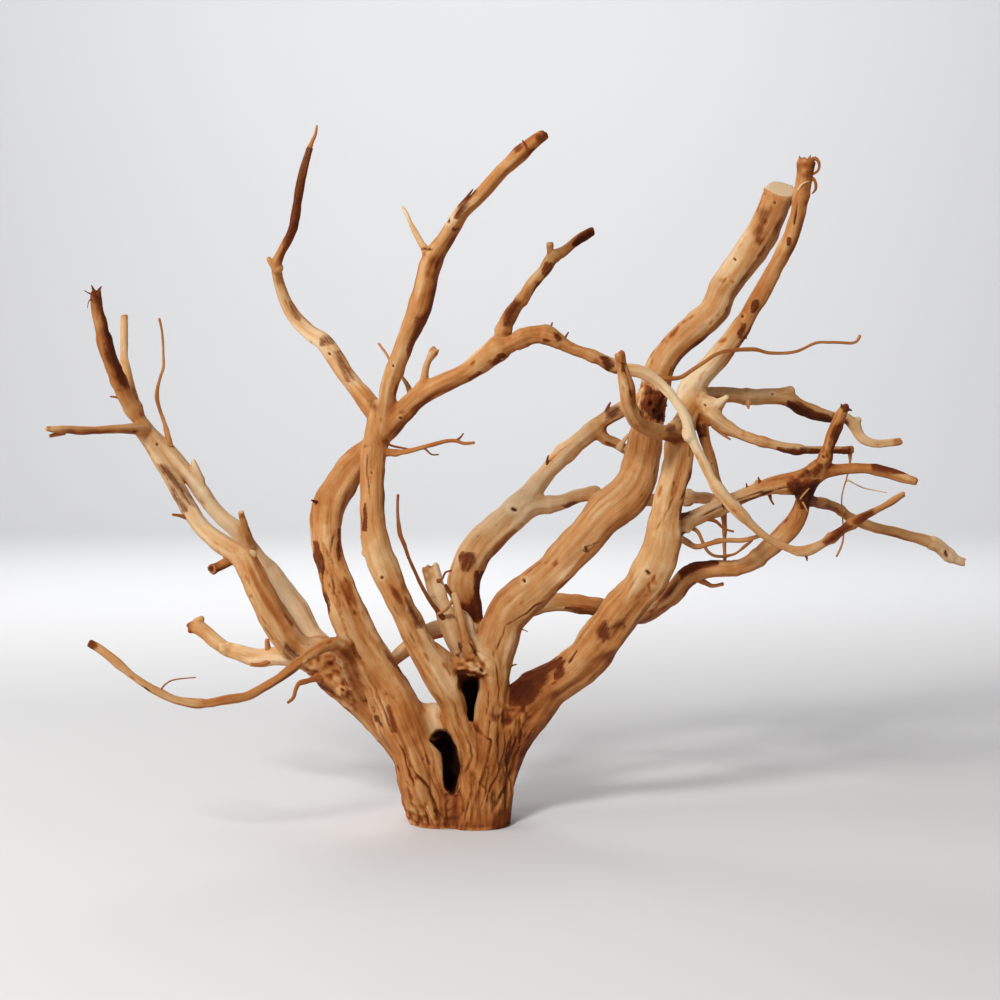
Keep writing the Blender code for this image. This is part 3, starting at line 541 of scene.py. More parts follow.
def twigs(name, routes):
    """One piece for thin twigs, each a tapered tube with knuckles, sunk into the wood that it grows from. A
    route is its stations and its tone."""
    shape = bmesh.new()
    grain = shape.verts.layers.float_vector.new("grain")
    tone_of = shape.verts.layers.float.new("tone")
    for number, (stations, tone) in enumerate(routes):
        points = curved(stations, TWIG_SPACING)
        run = np.concatenate([[0], np.cumsum(np.linalg.norm(np.diff(points[:, :3], axis=0), axis=1))])
        drift = np.stack([run / TWIG_SWAY_LENGTH, run * 0 + number, run * 0], 1)
        sway = np.stack([wander(drift, seed=k + number) for k in (1, 2, 3)], 1)
        points[:, :3] += TWIG_SWAY * sway * points[:, 3:]
        knuckles = np.maximum(wander(drift * (0.9, 1, 1), seed=number + 4) - TWIG_KNUCKLE_FROM, 0)
        swelling = wander(drift * (2, 1, 1), seed=number + 9)
        points[:, 3] *= 1 + TWIG_SWELLING * swelling + TWIG_KNUCKLE * knuckles
        side, over = crosswise(points)
        sides = int(np.clip(points[:, 3].max() / TWIG_FACET, LEAST_SIDES, MOST_SIDES))
        rings = []
        for i, radius in enumerate(points[:, 3]):
            ring = []
            for k in range(sides):
                angle = 2 * math.pi * k / sides
                bulge = 1 + 0.10 * math.cos(2 * angle + run[i] * 90 + number)
                bulge += 0.06 * math.cos(3 * angle - run[i] * 60)
                a, b = radius * bulge * math.cos(angle), radius * bulge * math.sin(angle)
                vertex = shape.verts.new(points[i, :3] + side[i] * a + over[i] * b)
                vertex[grain] = (run[i] + TWIG_GRAIN_SHIFT * number, a, b)
                vertex[tone_of] = tone
                ring.append(vertex)
            rings.append(ring)
        for lower, upper in zip(rings, rings[1:]):
            for k in range(sides):
                shape.faces.new((lower[k], lower[(k + 1) % sides], upper[(k + 1) % sides], upper[k]))
        tip = points[-1, :3] + (points[-1, :3] - points[-2, :3]) * TWIG_TIP
        for ring, place, away in ((rings[0], points[0, :3], 0), (rings[-1], tip, run[-1])):
            middle = shape.verts.new(place)
            middle[grain] = (away + TWIG_GRAIN_SHIFT * number, 0, 0)
            middle[tone_of] = tone
            for k in range(sides):
                pair = ring[k], ring[(k + 1) % sides]
                shape.faces.new((*(reversed(pair) if ring is rings[0] else pair), middle))
    bmesh.ops.recalc_face_normals(shape, faces=shape.faces)
    mesh = bpy.data.meshes.new(name)
    shape.to_mesh(mesh)
    shape.free()
    mesh.shade_smooth()
    wooden_piece(name, mesh)


grow("far_left_spur", "left_branches", [
    (277, 268, 29, 5), (272, 264, 28, 3.4), (268, 258, 27, 2),
], tone=0.6, fillet=0.3)
grow("middle_stem_bump", "left_stems", [
    (371, 551, -21, 6.5), (365.5, 552.5, -21, 3.6),
], tone=0.45, fillet=0.6)
twigs("driftwood_left_twigs", [
    ([(411, 395, -15, 3.4), (404, 380, -9, 1.9), (392, 364, 0, 1.4), (386, 353.5, 4, 1.4),
        (378, 343, 8, 1.4)], 0.6),
    ([(378, 452, 0, 5), (390, 452.5, -4, 4.1), (403, 451, -8, 2.9), (417, 448, -12, 2.5),
        (431, 444.5, -15, 2.3), (445, 441, -17, 2.1), (455, 440.5, -18, 1.8), (464, 443, -19, 1.5),
        (474, 442, -20, 1.4)], 0.45),
    ([(455, 440.5, -18, 1.4), (460, 437, -18, 1.1), (463, 433, -18, 0.7)], 0.2),
    ([(457, 214, -53, 3), (460, 206, -56, 2.2), (467, 197, -58, 1.6), (472.5, 189, -59, 0.7)], 0.15),
    ([(528, 150, -71, 3), (524, 143, -73, 1.4), (522, 140, -74, 0.7)], 0.3),
    ([(421, 447, -13, 1.3), (425, 448.5, -14, 1), (431, 454, -15, 0.8), (438, 454, -15, 0.7)], 0.2),
    ([(378, 438, 0, 1.8), (384, 441, -3, 1.3), (391, 445, -6, 1.1), (400, 447, -8, 1),
        (411, 449, -10, 0.9)], 0.2),
    ([(307.5, 154, -4.6, 2.5), (309.5, 148, -6, 2.5), (312, 141, -8, 2.1), (315, 134, -9, 1.7),
        (316.5, 125, -10, 1.1)], 0.5),
])
mark("knot", "middle_stem", (2.2, 0.0006, (382, 576), (382.5, 577)))
mark("knot", "middle_stem left_stem", (1.8, 0.0004, (371, 471), (371, 472)))
mark("knot", "middle_stem left_stem tall_branch", (1.8, 0.0004, (393, 364), (393, 366)))
mark("knot", "far_left_branch", (2.2, 0.0005, (329, 352), (330, 353)))
mark("patch", "far_left_branch",
    (0.6, (319, 338), (324, 333), (332, 336), (334, 343), (327, 346), (320, 344)),
    (0.6, (331, 350), (338, 350), (346, 364), (354, 380), (348, 382), (338, 368)),
    (0.5, (288, 300), (293, 304), (301, 318), (297, 320), (290, 310)),
    (0.72, (282, 248), (286, 225), (289, 200), (292, 175), (297, 150), (308, 138), (318, 146), (315, 172),
        (308, 204), (302, 230), (292, 252)),
    (0.75, (287, 232), (293, 222), (297, 224), (294, 236), (288, 250), (284, 248)),
)
mark("patch", "middle_stem tall_branch far_left_branch",
    (0.5, (366, 400), (372, 398), (380, 410), (376, 414)),
)
mark("knot", "tall_branch", (2.6, 0.0006, (448, 220), (448, 222)))
mark("crack", "left_stem",
    (1.6, 0.0004, (334, 572), (330, 555), (331, 540), (336, 532)),
    (1.3, 0.0004, (341, 620), (334, 590), (331, 568)),
    (1.6, 0.0004, (318, 545), (322, 562), (322, 580), (326, 592), (329, 612)),
)
mark("patch", "left_stem",
    (0.75, (336, 528), (339, 528), (339, 542), (341, 556), (337, 562), (335, 550), (337, 540)),
    (0.75, (314, 540), (318, 545), (321, 556), (323, 574), (319, 572), (315, 556)),
    (0.75, (324, 588), (328, 596), (331, 614), (328, 618), (325, 604)),
)
mark("patch", "left_stem left_rib",
    (0.75, (381, 648), (387, 651), (396, 662), (402, 672), (396, 670), (386, 660)),
)
mark("stain", "left_stem", (5, 0.25, (346, 585), (350, 600)))
mark("patch", "middle_stem",
    (0.75, (363, 502), (366, 500), (367, 515), (366, 531), (363, 528), (362, 514)),
    (0.75, (404, 596), (410, 603), (421, 622), (423, 628), (417, 626), (409, 611)),
)
mark("crack", "middle_stem",
    (1.2, 0.0003, (394, 608), (399, 618)),
    (1.0, 0.0003, (367, 452), (366, 470), (368, 490)),
)
mark("stain", "middle_stem", (5, 0.3, (398, 590), (402, 600)))
mark("patch", "tall_branch",
    (0.75, (416, 316), (428, 312), (427, 320), (421, 328), (411, 353), (408, 362), (406, 352), (413, 330)),
    (0.75, (452, 228), (459, 226), (460, 230), (454, 233)),
    (0.9, (454, 216), (458, 206), (466, 196), (474, 186), (478, 190), (470, 200), (462, 210), (457, 218)),
    (0.75, (535, 136), (546, 131), (549, 136), (540, 142)),
)
mark("stain", "tall_branch", (6, 0.10, (428, 265), (425, 290), (420, 315)))
mark("crack", "tall_branch tall_branch_spur", (1.8, 0.0006, (415, 252), (423, 248), (433, 249)))
mark("crack", "tall_branch", (1.3, 0.0004, (400, 400), (404, 385), (408, 370)))
mark("patch", "middle_branch",
    (0.95, (488, 363), (500, 352), (509, 352), (504, 360), (494, 367)),
    (0.8, (468, 379), (478, 370), (484, 372), (477, 380), (470, 383)),
)
mark("stain", "middle_branch", (8, 0.12, (430, 390), (445, 382), (470, 374)))
mark("knot", "middle_branch", (2.0, 0.0004, (400, 417), (401, 418)))
mark("patch", "burnt_branch",
    (1.4, (571, 245), (579, 234), (592, 226), (597, 232), (585, 240), (577, 246)),
    (0.75, (502, 326), (505, 308), (513, 298), (521, 302), (514, 312), (509, 326)),
    (0.8, (530, 294), (536, 280), (541, 281), (542, 288), (534, 297)),
    (0.8, (541, 274), (545, 262), (553, 261), (551, 270), (546, 277)),
)


# The pale spray on the left
# A fan of cream-coloured arms that leaves the stump low on its left. Two of them run side by side to forked
# tips, dark at their ends, and a long thin one hangs below in a bow.
grow("left_front_arm", "spray", [
    (318, 656, 4, 18), (300, 650, 0, 15), (283, 632, -4, 14.2), (270, 612, -6, 14), (260, 592, -6, 13),
    (252, 574, -4, 12), (243, 558, -2, 11), (228, 548, 0, 9.8), (212.5, 537.5, 2, 8.6),
    (199.5, 524.5, 4, 8.2), (182.5, 497, 6, 8), (174, 482, 7, 7.8), (154, 452, 6, 6.8), (139, 429, 4, 6.4),
], tone=(0.5, 0.55, 0.6, 0.72, 0.78, 0.7, 0.55), knobbly=0.6)
grow("left_back_arm", "spray", [
    (318, 650, 16, 16), (307, 636, 22, 13.4), (298.5, 617, 26, 13), (289, 601, 28, 12.4),
    (278.5, 586, 28, 11.2), (268, 571, 26, 10), (257, 557.5, 22, 8.4), (238, 531.5, 16, 8),
    (214.5, 509.5, 14, 8.2), (196.5, 485, 12, 7.6), (177.5, 462.5, 10, 8.2), (158, 442, 8, 7.6),
    (139.5, 419.5, 4, 6.8), (132, 408, 2, 7),
], tone=(0.75, 0.85, 0.9, 0.85, 0.8, 0.7, 0.6), fillet=0.3, knobbly=0.5)
grow("left_dark_top", "spray", [
    (134, 410, 2, 7.5), (125.5, 396.5, -2, 7.8), (117.5, 380, -8, 7.2), (110.5, 363, -14, 7),
    (105, 346, -20, 6.8), (101, 329, -26, 6.2), (97.5, 312, -31, 5.6), (96, 300, -35, 5.2),
    (95.5, 294, -38, 4.8),
], tone=(0.42, 0.38, 0.36, 0.32), broken=True, knobbly=0.5)
grow("left_second_top", "spray", [
    (133, 406, 3, 6.6), (129, 388, 10, 5.6), (126, 372, 16, 5), (123.5, 357, 22, 4.2), (123.5, 336, 28, 3.8),
    (123.5, 316, 34, 4),
], tone=(0.45, 0.5, 0.6), knobbly=0.3, broken=True)
grow("left_pointer", "spray", [
    (141, 428, 2, 6.8), (130, 428.5, -6, 5.6), (116, 428.5, -14, 4.8), (84, 430.2, -30, 4.6),
    (70, 429.5, -36, 4.6), (58, 429, -42, 4), (46, 428, -46, 2.4),
], tone=(0.5, 0.5, 0.45, 0.6), broken=True, knobbly=0.3)
grow("left_knuckle", "spray", [
    (249, 545, 16, 6), (246, 533, 12, 5), (243, 522, 9, 4.4), (240.5, 512, 6, 3.4),
], tone=0.5, broken=True)
grow("left_open_stub", "spray", [
    (241, 553, 0, 5), (232, 558.5, 0, 4.6), (222, 564, -2, 4.4), (212, 569, -6, 4.6),
], tone=(0.5, 0.4), broken=True)
grow("pale_low_arm", "spray", [
    (314, 654, 14, 13), (300, 655, 18, 12), (285, 655, 24, 9.8), (272, 655.5, 28, 9), (257, 657, 32, 9),
    (240, 653, 36, 7.8), (226, 648.5, 40, 7), (214, 640, 43, 7), (204.5, 631.5, 46, 6.8),
    (197, 626, 48, 6.8), (191, 627, 50, 5.4),
], tone=(0.55, 0.7, 0.65, 0.5), broken=True)
grow("long_low_arm", "spray", [
    (360, 688, -2, 11), (352, 675, -8, 10), (347, 662, -16, 9), (341, 650, -24, 8), (332, 644, -30, 7.6),
    (320, 648, -36, 6.4), (306, 656.5, -42, 5.7), (293, 666, -47, 5.3), (278.5, 677.5, -52, 5),
    (262, 687.5, -56, 4.8), (245, 696, -60, 4.6), (225, 699.5, -64, 4.5), (205, 703, -67, 4.5),
    (185, 701.5, -70, 4.5), (167, 696.5, -72, 4.5), (136.5, 679, -75, 4.3), (108, 655.5, -76, 4.3),
    (99.5, 648.5, -76, 4.6), (90, 643, -76, 4.1),
], tone=(0.4, 0.4, 0.42, 0.42, 0.38, 0.3), broken=True, knobbly=0.5)
grow("left_tooth", "spray", [
    (199, 480, 12, 6), (195, 468, 10, 4.2), (193, 461, 9, 2.6),
], tone=0.85, fillet=0.5)
grow("left_knob", "spray", [(247, 556, -3, 7), (252, 554, -4, 4.2)], tone=0.7, fillet=0.5)
grow("low_arm_knob", "spray", [(197, 622, 48, 5), (200.5, 618.5, 48, 3.4)], tone=0.55, fillet=0.5)
grow("low_arm_ring", "spray", [(225, 648, 38, 4.6), (228, 646, 38, 4.2)], tone=0.6, fillet=0.4)
grow("low_bow_root", "spray", [
    (330, 643, -14, 6), (338, 641, -12, 5), (342, 637, -11, 3),
], tone=0.3, fillet=0.4)
grow("root_knot", "spray", [(341, 688, 0, 7), (342, 691, -3, 5)], tone=0.5, fillet=0.6)
twigs("driftwood_left_spray_twigs", [
    ([(64, 431, -38, 2.6), (49, 436, -42, 1.7)], 0.35),
    ([(168, 447, 8, 5.4), (167, 434, 12, 3.2), (163.5, 420, 17, 2.1), (159, 409, 21, 1.9),
        (156.5, 398, 24, 2.1), (157, 388, 26, 1.7), (160, 376, 28, 1.4), (163, 363, 30, 1.3),
        (161.5, 333, 31, 1.3), (158.5, 318, 30, 1.3)], 0.5),
    ([(190, 517, 5, 3.4), (180, 515, 2, 1.9), (172, 514, 0, 1.2)], 0.3),
    ([(268, 652, 28, 3.6), (267, 639, 26, 2.3)], 0.5),
    ([(320, 676, 0, 5), (308, 680, -6, 2.7), (299, 682.5, -10, 2.1), (295.5, 689, -12, 2),
        (293, 697, -14, 1.8), (287, 702, -15, 1.4)], 0.4),
    ([(95, 294, -37, 2), (93, 289, -38, 1.1), (91, 285, -39, 0.5)], 0.1),
    ([(98, 294, -37, 2), (99, 289, -38, 1.1), (101, 286, -39, 0.5)], 0.1),
    ([(95, 294, -37, 1.6), (89, 293, -38, 0.7), (84, 290, -39, 0.4)], 0.1),
    ([(95, 298, -36, 1.6), (89, 300, -38, 0.6), (87, 307, -39, 0.4)], 0.1),
    ([(122, 398, 0, 3), (120, 398, -2, 1.6), (115, 396.5, -4, 1.2), (110, 396, -5, 0.9)], 0.2),
    ([(272, 659, 26, 3.2), (262, 663.5, 24, 2.4), (250, 664, 22, 1.8)], 0.5),
    ([(160, 694, -73, 1.6), (160, 690, -73, 1.1), (166, 683, -73, 0.8), (175, 679, -73, 0.7),
        (195, 677, -73, 0.6)], 0.3),
    ([(318, 503, 8, 2.4), (314, 501, 4, 1.5), (311, 499.5, 2, 0.8)], 0.1),
])
mark("knot", "left_back_arm left_front_arm", (2, 0.0004, (157, 443), (157, 444)))
mark("crack", "left_front_arm left_back_arm", (2.2, 0.0006, (212, 522), (200, 508), (190, 492)))
mark("knot", "left_open_stub", (3.4, 0.0008, (210.5, 568), (211.5, 570)))
mark("rough", "left_rib left_front_arm left_back_arm long_low_arm left_stem root_knot stump",
    (0.0005, (296, 668), (305, 655), (325, 652), (342, 662), (350, 685), (356, 712), (340, 708), (325, 692),
        (308, 680)),
)
mark("patch", "left_rib left_back_arm left_front_arm stump",
    (0.75, (306, 684), (322, 679), (332, 686), (343, 700), (330, 695), (318, 688)),
)
mark("patch", "left_stem left_rib",
    (0.75, (318, 638), (326, 634), (334, 640), (342, 650), (346, 668), (340, 660), (330, 646)),
)
mark("patch", "left_dark_top",
    (0.9, (100, 300), (107, 304), (114, 328), (122, 360), (129, 388), (118, 386), (109, 362), (103, 335)),
    (0.75, (88, 284), (104, 284), (103, 300), (99, 308), (96, 298), (90, 298)),
)
mark("patch", "left_back_arm left_front_arm",
    (0.75, (163, 472), (170, 480), (183, 502), (188, 512), (182, 512), (170, 490)),
)
mark("patch", "left_front_arm", (0.75, (285, 640), (296, 652), (300, 660), (290, 656), (282, 648)))
mark("stain", "left_front_arm", (8, 0.26, (256, 552), (268, 585), (282, 615), (297, 642)))
mark("patch", "left_front_arm left_back_arm",
    (0.7, (156, 462), (162, 462), (172, 472), (184, 490), (196, 508), (188, 506), (174, 488), (160, 472)),
)
mark("crack", "left_back_arm", (1.0, 0.0003, (276, 592), (284, 612), (292, 632)))
mark("knot", "root_knot", (3, 0.0006, (341, 689), (342, 690)))
mark("patch", "long_low_arm",
    (0.75, (84, 641), (93, 639), (97, 645), (91, 650)),
    (0.75, (136, 684), (144, 687), (150, 692), (142, 692)),
)


# The middle
# Behind the two brown stems a pale stem climbs to the right and forks, and a broken stump, a bar and a few
# twigs fill the gap at its foot.
grow("pale_stem", "middle", [
    (474, 665, 30, 12), (473, 640, 36, 12), (470, 620, 39, 12), (466.5, 603, 41, 12.6),
    (463.5, 585, 42, 14.8), (469, 565, 44, 15.4), (478, 547.5, 45, 15.2), (493, 532, 46, 14.6),
    (508.5, 517.5, 46, 14), (521.5, 505.5, 46, 13),
], tone=(0.25, 0.3, 0.55, 0.75, 0.8))
grow("pale_stem_top", "middle", [
    (515, 511, 46, 12), (531, 492, 48, 10.4), (541, 478, 50, 9.4), (556.5, 460.5, 52, 9.2),
    (574.5, 444, 52, 8.8), (590.5, 431, 50, 8.2), (604, 419.5, 48, 7.8), (618, 411, 44, 8),
    (632, 403, 38, 7.5), (647, 396, 28, 7),
], tone=(0.8, 0.75, 0.6, 0.5))
grow("pale_stem_link", "middle", [
    (598, 427, 49, 6.4), (605, 438, 50, 6), (616, 443, 52, 5.2), (627, 450.5, 50, 5.2), (636, 455, 42, 5),
    (645, 462, 28, 5),
], tone=0.55)
grow("pale_stem_side", "middle", [
    (515, 511, 46, 11), (535, 505.5, 46, 9.4), (548, 504.5, 46, 8.3), (561, 502, 45, 7.4),
    (575, 496.5, 44, 6.8), (590, 494, 42, 6.6), (602, 496.5, 40, 6), (625, 500, 42, 6), (650, 500, 36, 6),
    (672, 498, 24, 6), (688, 496.5, 10, 6), (702, 497.5, 2, 5.6), (715, 500, -6, 5.8), (725, 502, -10, 6.5),
], tone=(0.75, 0.6, 0.5, 0.5))
grow("back_bar", "middle", [
    (468, 630, 30, 9), (448, 628, 26, 8), (432, 630.5, 24, 8), (416, 641, 22, 7.4), (402, 651, 18, 7.4),
    (390, 662, 10, 7), (380, 670, 0, 7),
], tone=0.7, fillet=0.3)
grow("broken_stump", "middle", [
    (468, 674, 4, 13), (459, 654, 0, 8.6), (453, 636, 0, 9.4), (447, 619, 0, 9.8), (441.5, 605, 1, 9),
    (437, 592, 2, 8.8), (433.5, 580, 4, 9.2), (431, 569, 6, 9.6),
], tone=(0.5, 0.62, 0.72, 0.78), fillet=0.35, broken=True)
grow("shoulder", "middle", [
    (457, 612, -6, 3), (463, 616, -8, 4), (468, 624, -9, 5), (470, 636, -9, 6), (472, 650, -8, 7),
], tone=0.82, fillet=0.5)
grow("crest", "middle", [
    (432, 656, -14, 11), (443, 661, -14, 9.5), (453, 664, -14, 8), (462, 665.5, -15, 7.2),
    (471, 667, -15.5, 6.8), (479, 669, -14, 6.6), (485, 676, -10, 6),
], tone=(0.46, 0.46, 0.48, 0.5, 0.44), fillet=0.8)
grow("first_fold", "middle", [
    (472, 652, -9, 4.4), (479, 653, -11.5, 4.6), (485.5, 658, -12.5, 4.8), (489, 667, -12, 5.4),
    (489, 682, -10, 6.6), (488, 700, -9, 7.6), (488, 718, -8, 8),
], tone=(0.7, 0.6, 0.45, 0.42, 0.42), fillet=0.6)
grow("second_fold", "middle", [
    (473, 657, -11, 3.4), (479, 660, -13.5, 3.6), (483, 665, -13.5, 3.4), (484, 670, -12, 3),
], tone=0.7, fillet=0.5)
grow("crooked_twig", "middle", [
    (474, 672, -6, 7), (471, 660, -12, 5.6), (468, 648, -14, 4.8), (464, 633, -16, 4),
    (460.5, 618, -17, 3.6), (456.5, 604, -16, 3.5), (454, 595, -14, 3.8),
], tone=(0.35, 0.4, 0.5), fillet=0.3)
twigs("driftwood_middle_twigs", [
    ([(443, 617, -3, 3), (437, 611, -6, 2.4), (429, 599, -11, 2.1), (422, 587, -14, 2),
        (414.5, 571, -16, 1.9), (408, 557, -17, 1.8), (403.5, 543, -17, 1.8), (399, 531, -16, 1.7),
        (397, 512, -14, 1.5), (397.5, 494, -12, 1.5)], 0.28),
    ([(455, 595, -14, 2.6), (451, 602, -12, 2.2), (445, 609, -9, 1.9), (438, 613, -6, 1.9)], 0.6),
    ([(438, 580, 0, 2.2), (442, 578, -2, 1.3), (445, 572, 0, 1.1), (451, 570, 0, 0.8)], 0.2),
    ([(454, 598, -13, 2.6), (450, 593, -11, 2.4), (447, 588, -9, 2.1), (445, 584, -8, 1.3)], 0.05),
    ([(547, 466, 50, 2.2), (547, 458, 47, 1.2), (548, 455, 46, 0.7)], 0.2),
    ([(607, 412, 46, 2.4), (608, 406, 45, 1.3), (610, 402, 44, 0.8)], 0.3),
    ([(619, 449, 50, 2.8), (622, 442, 48, 2.2), (628, 434, 46, 1.4)], 0.8),
])
mark("patch", "pale_stem",
    (0.75, (459, 556), (463, 551), (472, 551), (476, 558), (474, 567), (468, 571), (461, 568)),
    # This patch is painted shade: dark bark colour where the pale stem lies in the gap behind the shoulder
    # and the thick stem
    (1.1, (459, 604), (466, 604), (472, 594), (475, 572), (482, 570), (484, 622), (472, 622), (463, 612)),
)
mark("patch", "crooked_twig broken_stump",
    (0.75, (456, 639), (461, 641), (462, 650), (459, 659), (455, 659), (457, 650)),
)
mark("crack", "crooked_twig broken_stump crest shoulder first_fold second_fold",
    (1.2, 0.0005, (469, 640), (472, 649), (477, 657), (482, 664)),
)
mark("crack", "first_fold second_fold", (0.9, 0.0004, (476, 649), (483, 654), (488, 662)))
mark("knot", "crest second_fold", (3.4, 0.0007, (481, 669), (482, 670)))
# Painted shade under the crest: a dark stain along its underside, and a dark patch in bark colour between it
# and the hollow's mouth below
mark("stain", "crest middle_stem", (4, 0.3, (455, 672), (466, 674), (476, 675)))
mark("patch", "stump back_rib pale_stem broken_stump crest middle_stem",
    (1.4, (457, 673), (470, 675), (479, 675), (479, 688), (474, 683), (466, 682), (460, 689), (456, 684)),
)
mark("rough", "crest middle_stem first_fold second_fold crooked_twig",
    (0.0006, (456, 660), (470, 656), (486, 660), (488, 676), (472, 678), (456, 674)),
)
mark("stain", "crest second_fold", (7, 0.14, (455, 666), (468, 668), (482, 668)))
mark("crack", "crest second_fold", (1.2, 0.0006, (462, 664), (470, 668), (478, 666)))
mark("patch", "pale_stem_top", (0.75, (604, 410), (618, 404), (622, 410), (612, 420), (604, 419)))
mark("patch", "pale_stem_side", (0.75, (560, 505), (574, 499), (578, 502), (568, 508)))
mark("stain", "pale_stem", (5, 0.25, (490, 560), (500, 545), (512, 530)))
mark("knot", "pale_stem pale_stem_top pale_stem_side", (4, 0.0006, (513, 508), (515, 509)))
mark("knot", "pale_stem_top", (3, -0.0003, (568, 470), (570, 468)))


# The thick stem
# The stoutest stem, golden brown, which leans to the right and bends up to a sawn, pale top.
grow("thick_stem", "thick_stem", [
    (480, 860, -13, 26), (482, 795, -11, 22), (487, 755, -9, 18), (489, 725, -8, 16), (491, 700, -7, 15),
    (493, 680, -5, 16), (494, 660, -3, 18.5), (497, 640, 0, 20.5), (504.5, 617.5, 2, 20.5),
    (517.5, 602.5, 4, 20), (534.5, 588, 4, 19.6), (551.5, 572, 4, 19.4), (569, 554.5, 4, 19.4),
    (587, 535.5, 4, 20.2), (605, 513.5, 4, 20.8), (622.5, 498, 5, 20.6), (635, 482, 8, 20),
    (642, 460, 12, 18.6), (645, 440, 16, 17), (648, 420, 20, 15), (651, 400, 22, 14), (660, 368, 20, 14.2),
    (669, 351.5, 18, 14.4), (682.5, 337, 17, 14.4), (699, 322.5, 16, 14.5), (713, 309, 15, 14.8),
    (721, 292, 14, 14.5), (733, 274, 13, 14.6), (758, 237, 11, 15), (768, 217, 10, 15),
    (775.5, 200, 9, 14.6), (782, 187, 8, 13.8), (787, 176, 7, 13.4),
], tone=(0.4, 0.42, 0.52, 0.58, 0.56, 0.52, 0.54, 0.54, 0.5), fluted=0.014)
mark("knot", "thick_stem",
    (2.6, 0.0009, (523, 580), (524, 581)),
    (3.2, -0.0005, (585, 547), (586, 549)),
    (2.2, 0.0005, (690, 574), (690, 575)),
    (2.2, 0.0005, (734, 259), (735, 260)),
    (3.2, 0.0018, (650, 402), (650, 404)),
    (3.2, 0.0016, (654, 411), (655, 413)),
    (2.0, 0.0010, (645, 394), (646, 393)),
    (1.8, 0.0005, (774, 202), (774, 203)),
)
mark("crack", "thick_stem",
    (1.3, 0.0009, (648, 384), (652, 394), (650, 402), (658, 408), (664, 412)),
    (1.1, 0.0007, (640, 406), (646, 404), (650, 402)),
    (1.1, 0.0007, (556, 593), (548, 599), (533, 607), (526, 614), (515, 621), (506, 625), (503, 634),
        (499, 642), (494, 653)),
    (0.9, 0.0003, (600, 542), (588, 546), (583, 550), (590, 552)),
)
mark("patch", "thick_stem forked_prong",
    (0.9, (645, 384), (650, 387), (655, 392), (664, 391), (666, 400), (663, 412), (661, 422), (652, 420),
        (647, 415), (641, 410), (639, 404), (643, 399), (646, 394)),
    (1.3, (655, 406), (664, 402), (664, 421), (656, 421), (649, 414)),
)
mark("rough", "thick_stem", (0.0018, (638, 382), (666, 384), (668, 422), (650, 424), (636, 412)))
mark("patch", "thick_stem",
    (0.55, (757, 208), (765, 205), (770, 212), (765, 222), (764, 232), (759, 245), (752, 243), (753, 232),
        (758, 222)),
    (0.75, (686, 352), (692, 345), (698, 341), (694, 350), (688, 357)),
)
mark("stain", "thick_stem", (9, 0.08, (540, 560), (520, 580), (505, 600)))
grow("sawn_rim", "thick_stem", [(767, 190, 6, 4), (766, 184, 4, 2.2)], tone=0.5, fillet=0.4)


# The second stem and the branches that leave it
# A brown stem with scraps of bark that ends in a knot of crossing branches: a prong, a ragged broken stem, a
# thin red twig, two arms to the right and the long branch that crosses in front of everything.
grow("second_stem", "second_stem", [
    (516, 717, 0, 21), (534, 695.5, -2, 21.5), (558.5, 679, -6, 20), (585, 658, -12, 19.6),
    (604, 634, -18, 19.2), (622, 609, -24, 19), (641, 586, -28, 19), (655, 562, -32, 19),
    (662, 542, -34, 18), (665, 521, -34, 15.8), (668, 500, -34, 15.4), (673, 480, -32, 15.4),
    (678, 461, -28, 15.4), (678, 446, -24, 15.2), (680, 432, -20, 13.4), (687, 418, -10, 12),
    (696, 403, 0, 12),
], tone=(0.45, 0.5, 0.5, 0.5, 0.48, 0.5), fillet=0.45)
grow("forked_prong", "second_stem", [
    (684, 440, -20, 8), (672, 434, -33, 8.4), (661, 431.5, -43, 8), (648, 428, -52, 8), (637, 420, -60, 8.8),
    (629, 405, -66, 8.2), (627, 390, -70, 7.6), (624, 376, -73, 6.8), (620.5, 364, -75, 5.6),
    (618.5, 354, -76, 5.6),
], tone=(0.5, 0.55, 0.5, 0.45), broken=True)
grow("ragged_stem", "second_stem", [
    (688, 402, 0, 14), (691, 390, 0, 13), (700, 375, 0, 11), (716, 358.5, 0, 9.6), (739, 329, -4, 9),
    (748, 314, -6, 8.2), (760.5, 294, -8, 8.6), (772, 272, -10, 7.6), (782, 254, -12, 8.2),
    (791, 234, -14, 7.8), (797, 214, -16, 7.8), (800, 198, -17, 7.6), (803, 184, -18, 8),
    (804.5, 174, -19, 8), (805.5, 168, -20, 8.6), (806, 163, -20, 9),
], tone=(0.85, 0.8, 0.6, 0.45, 0.4, 0.5, 0.5, 0.42, 0.3), broken=True)
grow("long_crossing_branch", "crossing_branch", [
    (497.5, 348, -44, 10.5), (514, 342, -46, 8.8), (530, 335, -48, 9), (545, 334, -49, 8.2),
    (558, 340, -50, 7), (570, 347, -50, 6), (585, 352.5, -50, 5.5), (597, 358, -50, 5.5),
    (608, 364, -50, 6.6), (624, 369, -50, 5.8), (640, 371, -50, 5.8), (655, 379, -50, 5.4),
    (667, 390, -51, 4.6), (678.5, 405, -52, 4.6), (686, 420, -52, 5), (689, 434, -52, 5.4),
    (697, 449.5, -53, 4.6), (705, 465, -53, 4.8), (713.5, 482.5, -54, 4.4), (726, 498.5, -54, 4.8),
    (742, 515, -54, 4.3), (757, 530, -53, 4.4), (772, 541, -52, 4.1), (788, 548.5, -52, 4),
    (802, 551.5, -52, 4.5), (820, 544.5, -52, 4), (838, 533, -52, 4.2), (855, 521, -50, 4),
    (868, 513.5, -48, 3.5), (885, 504.5, -46, 3.3), (903, 493.5, -44, 3.2),
], tone=(0.45, 0.42, 0.45, 0.6, 0.9, 0.9, 0.55, 0.55, 0.5, 0.4, 0.3, 0.45), fillet=0.3, broken=True)
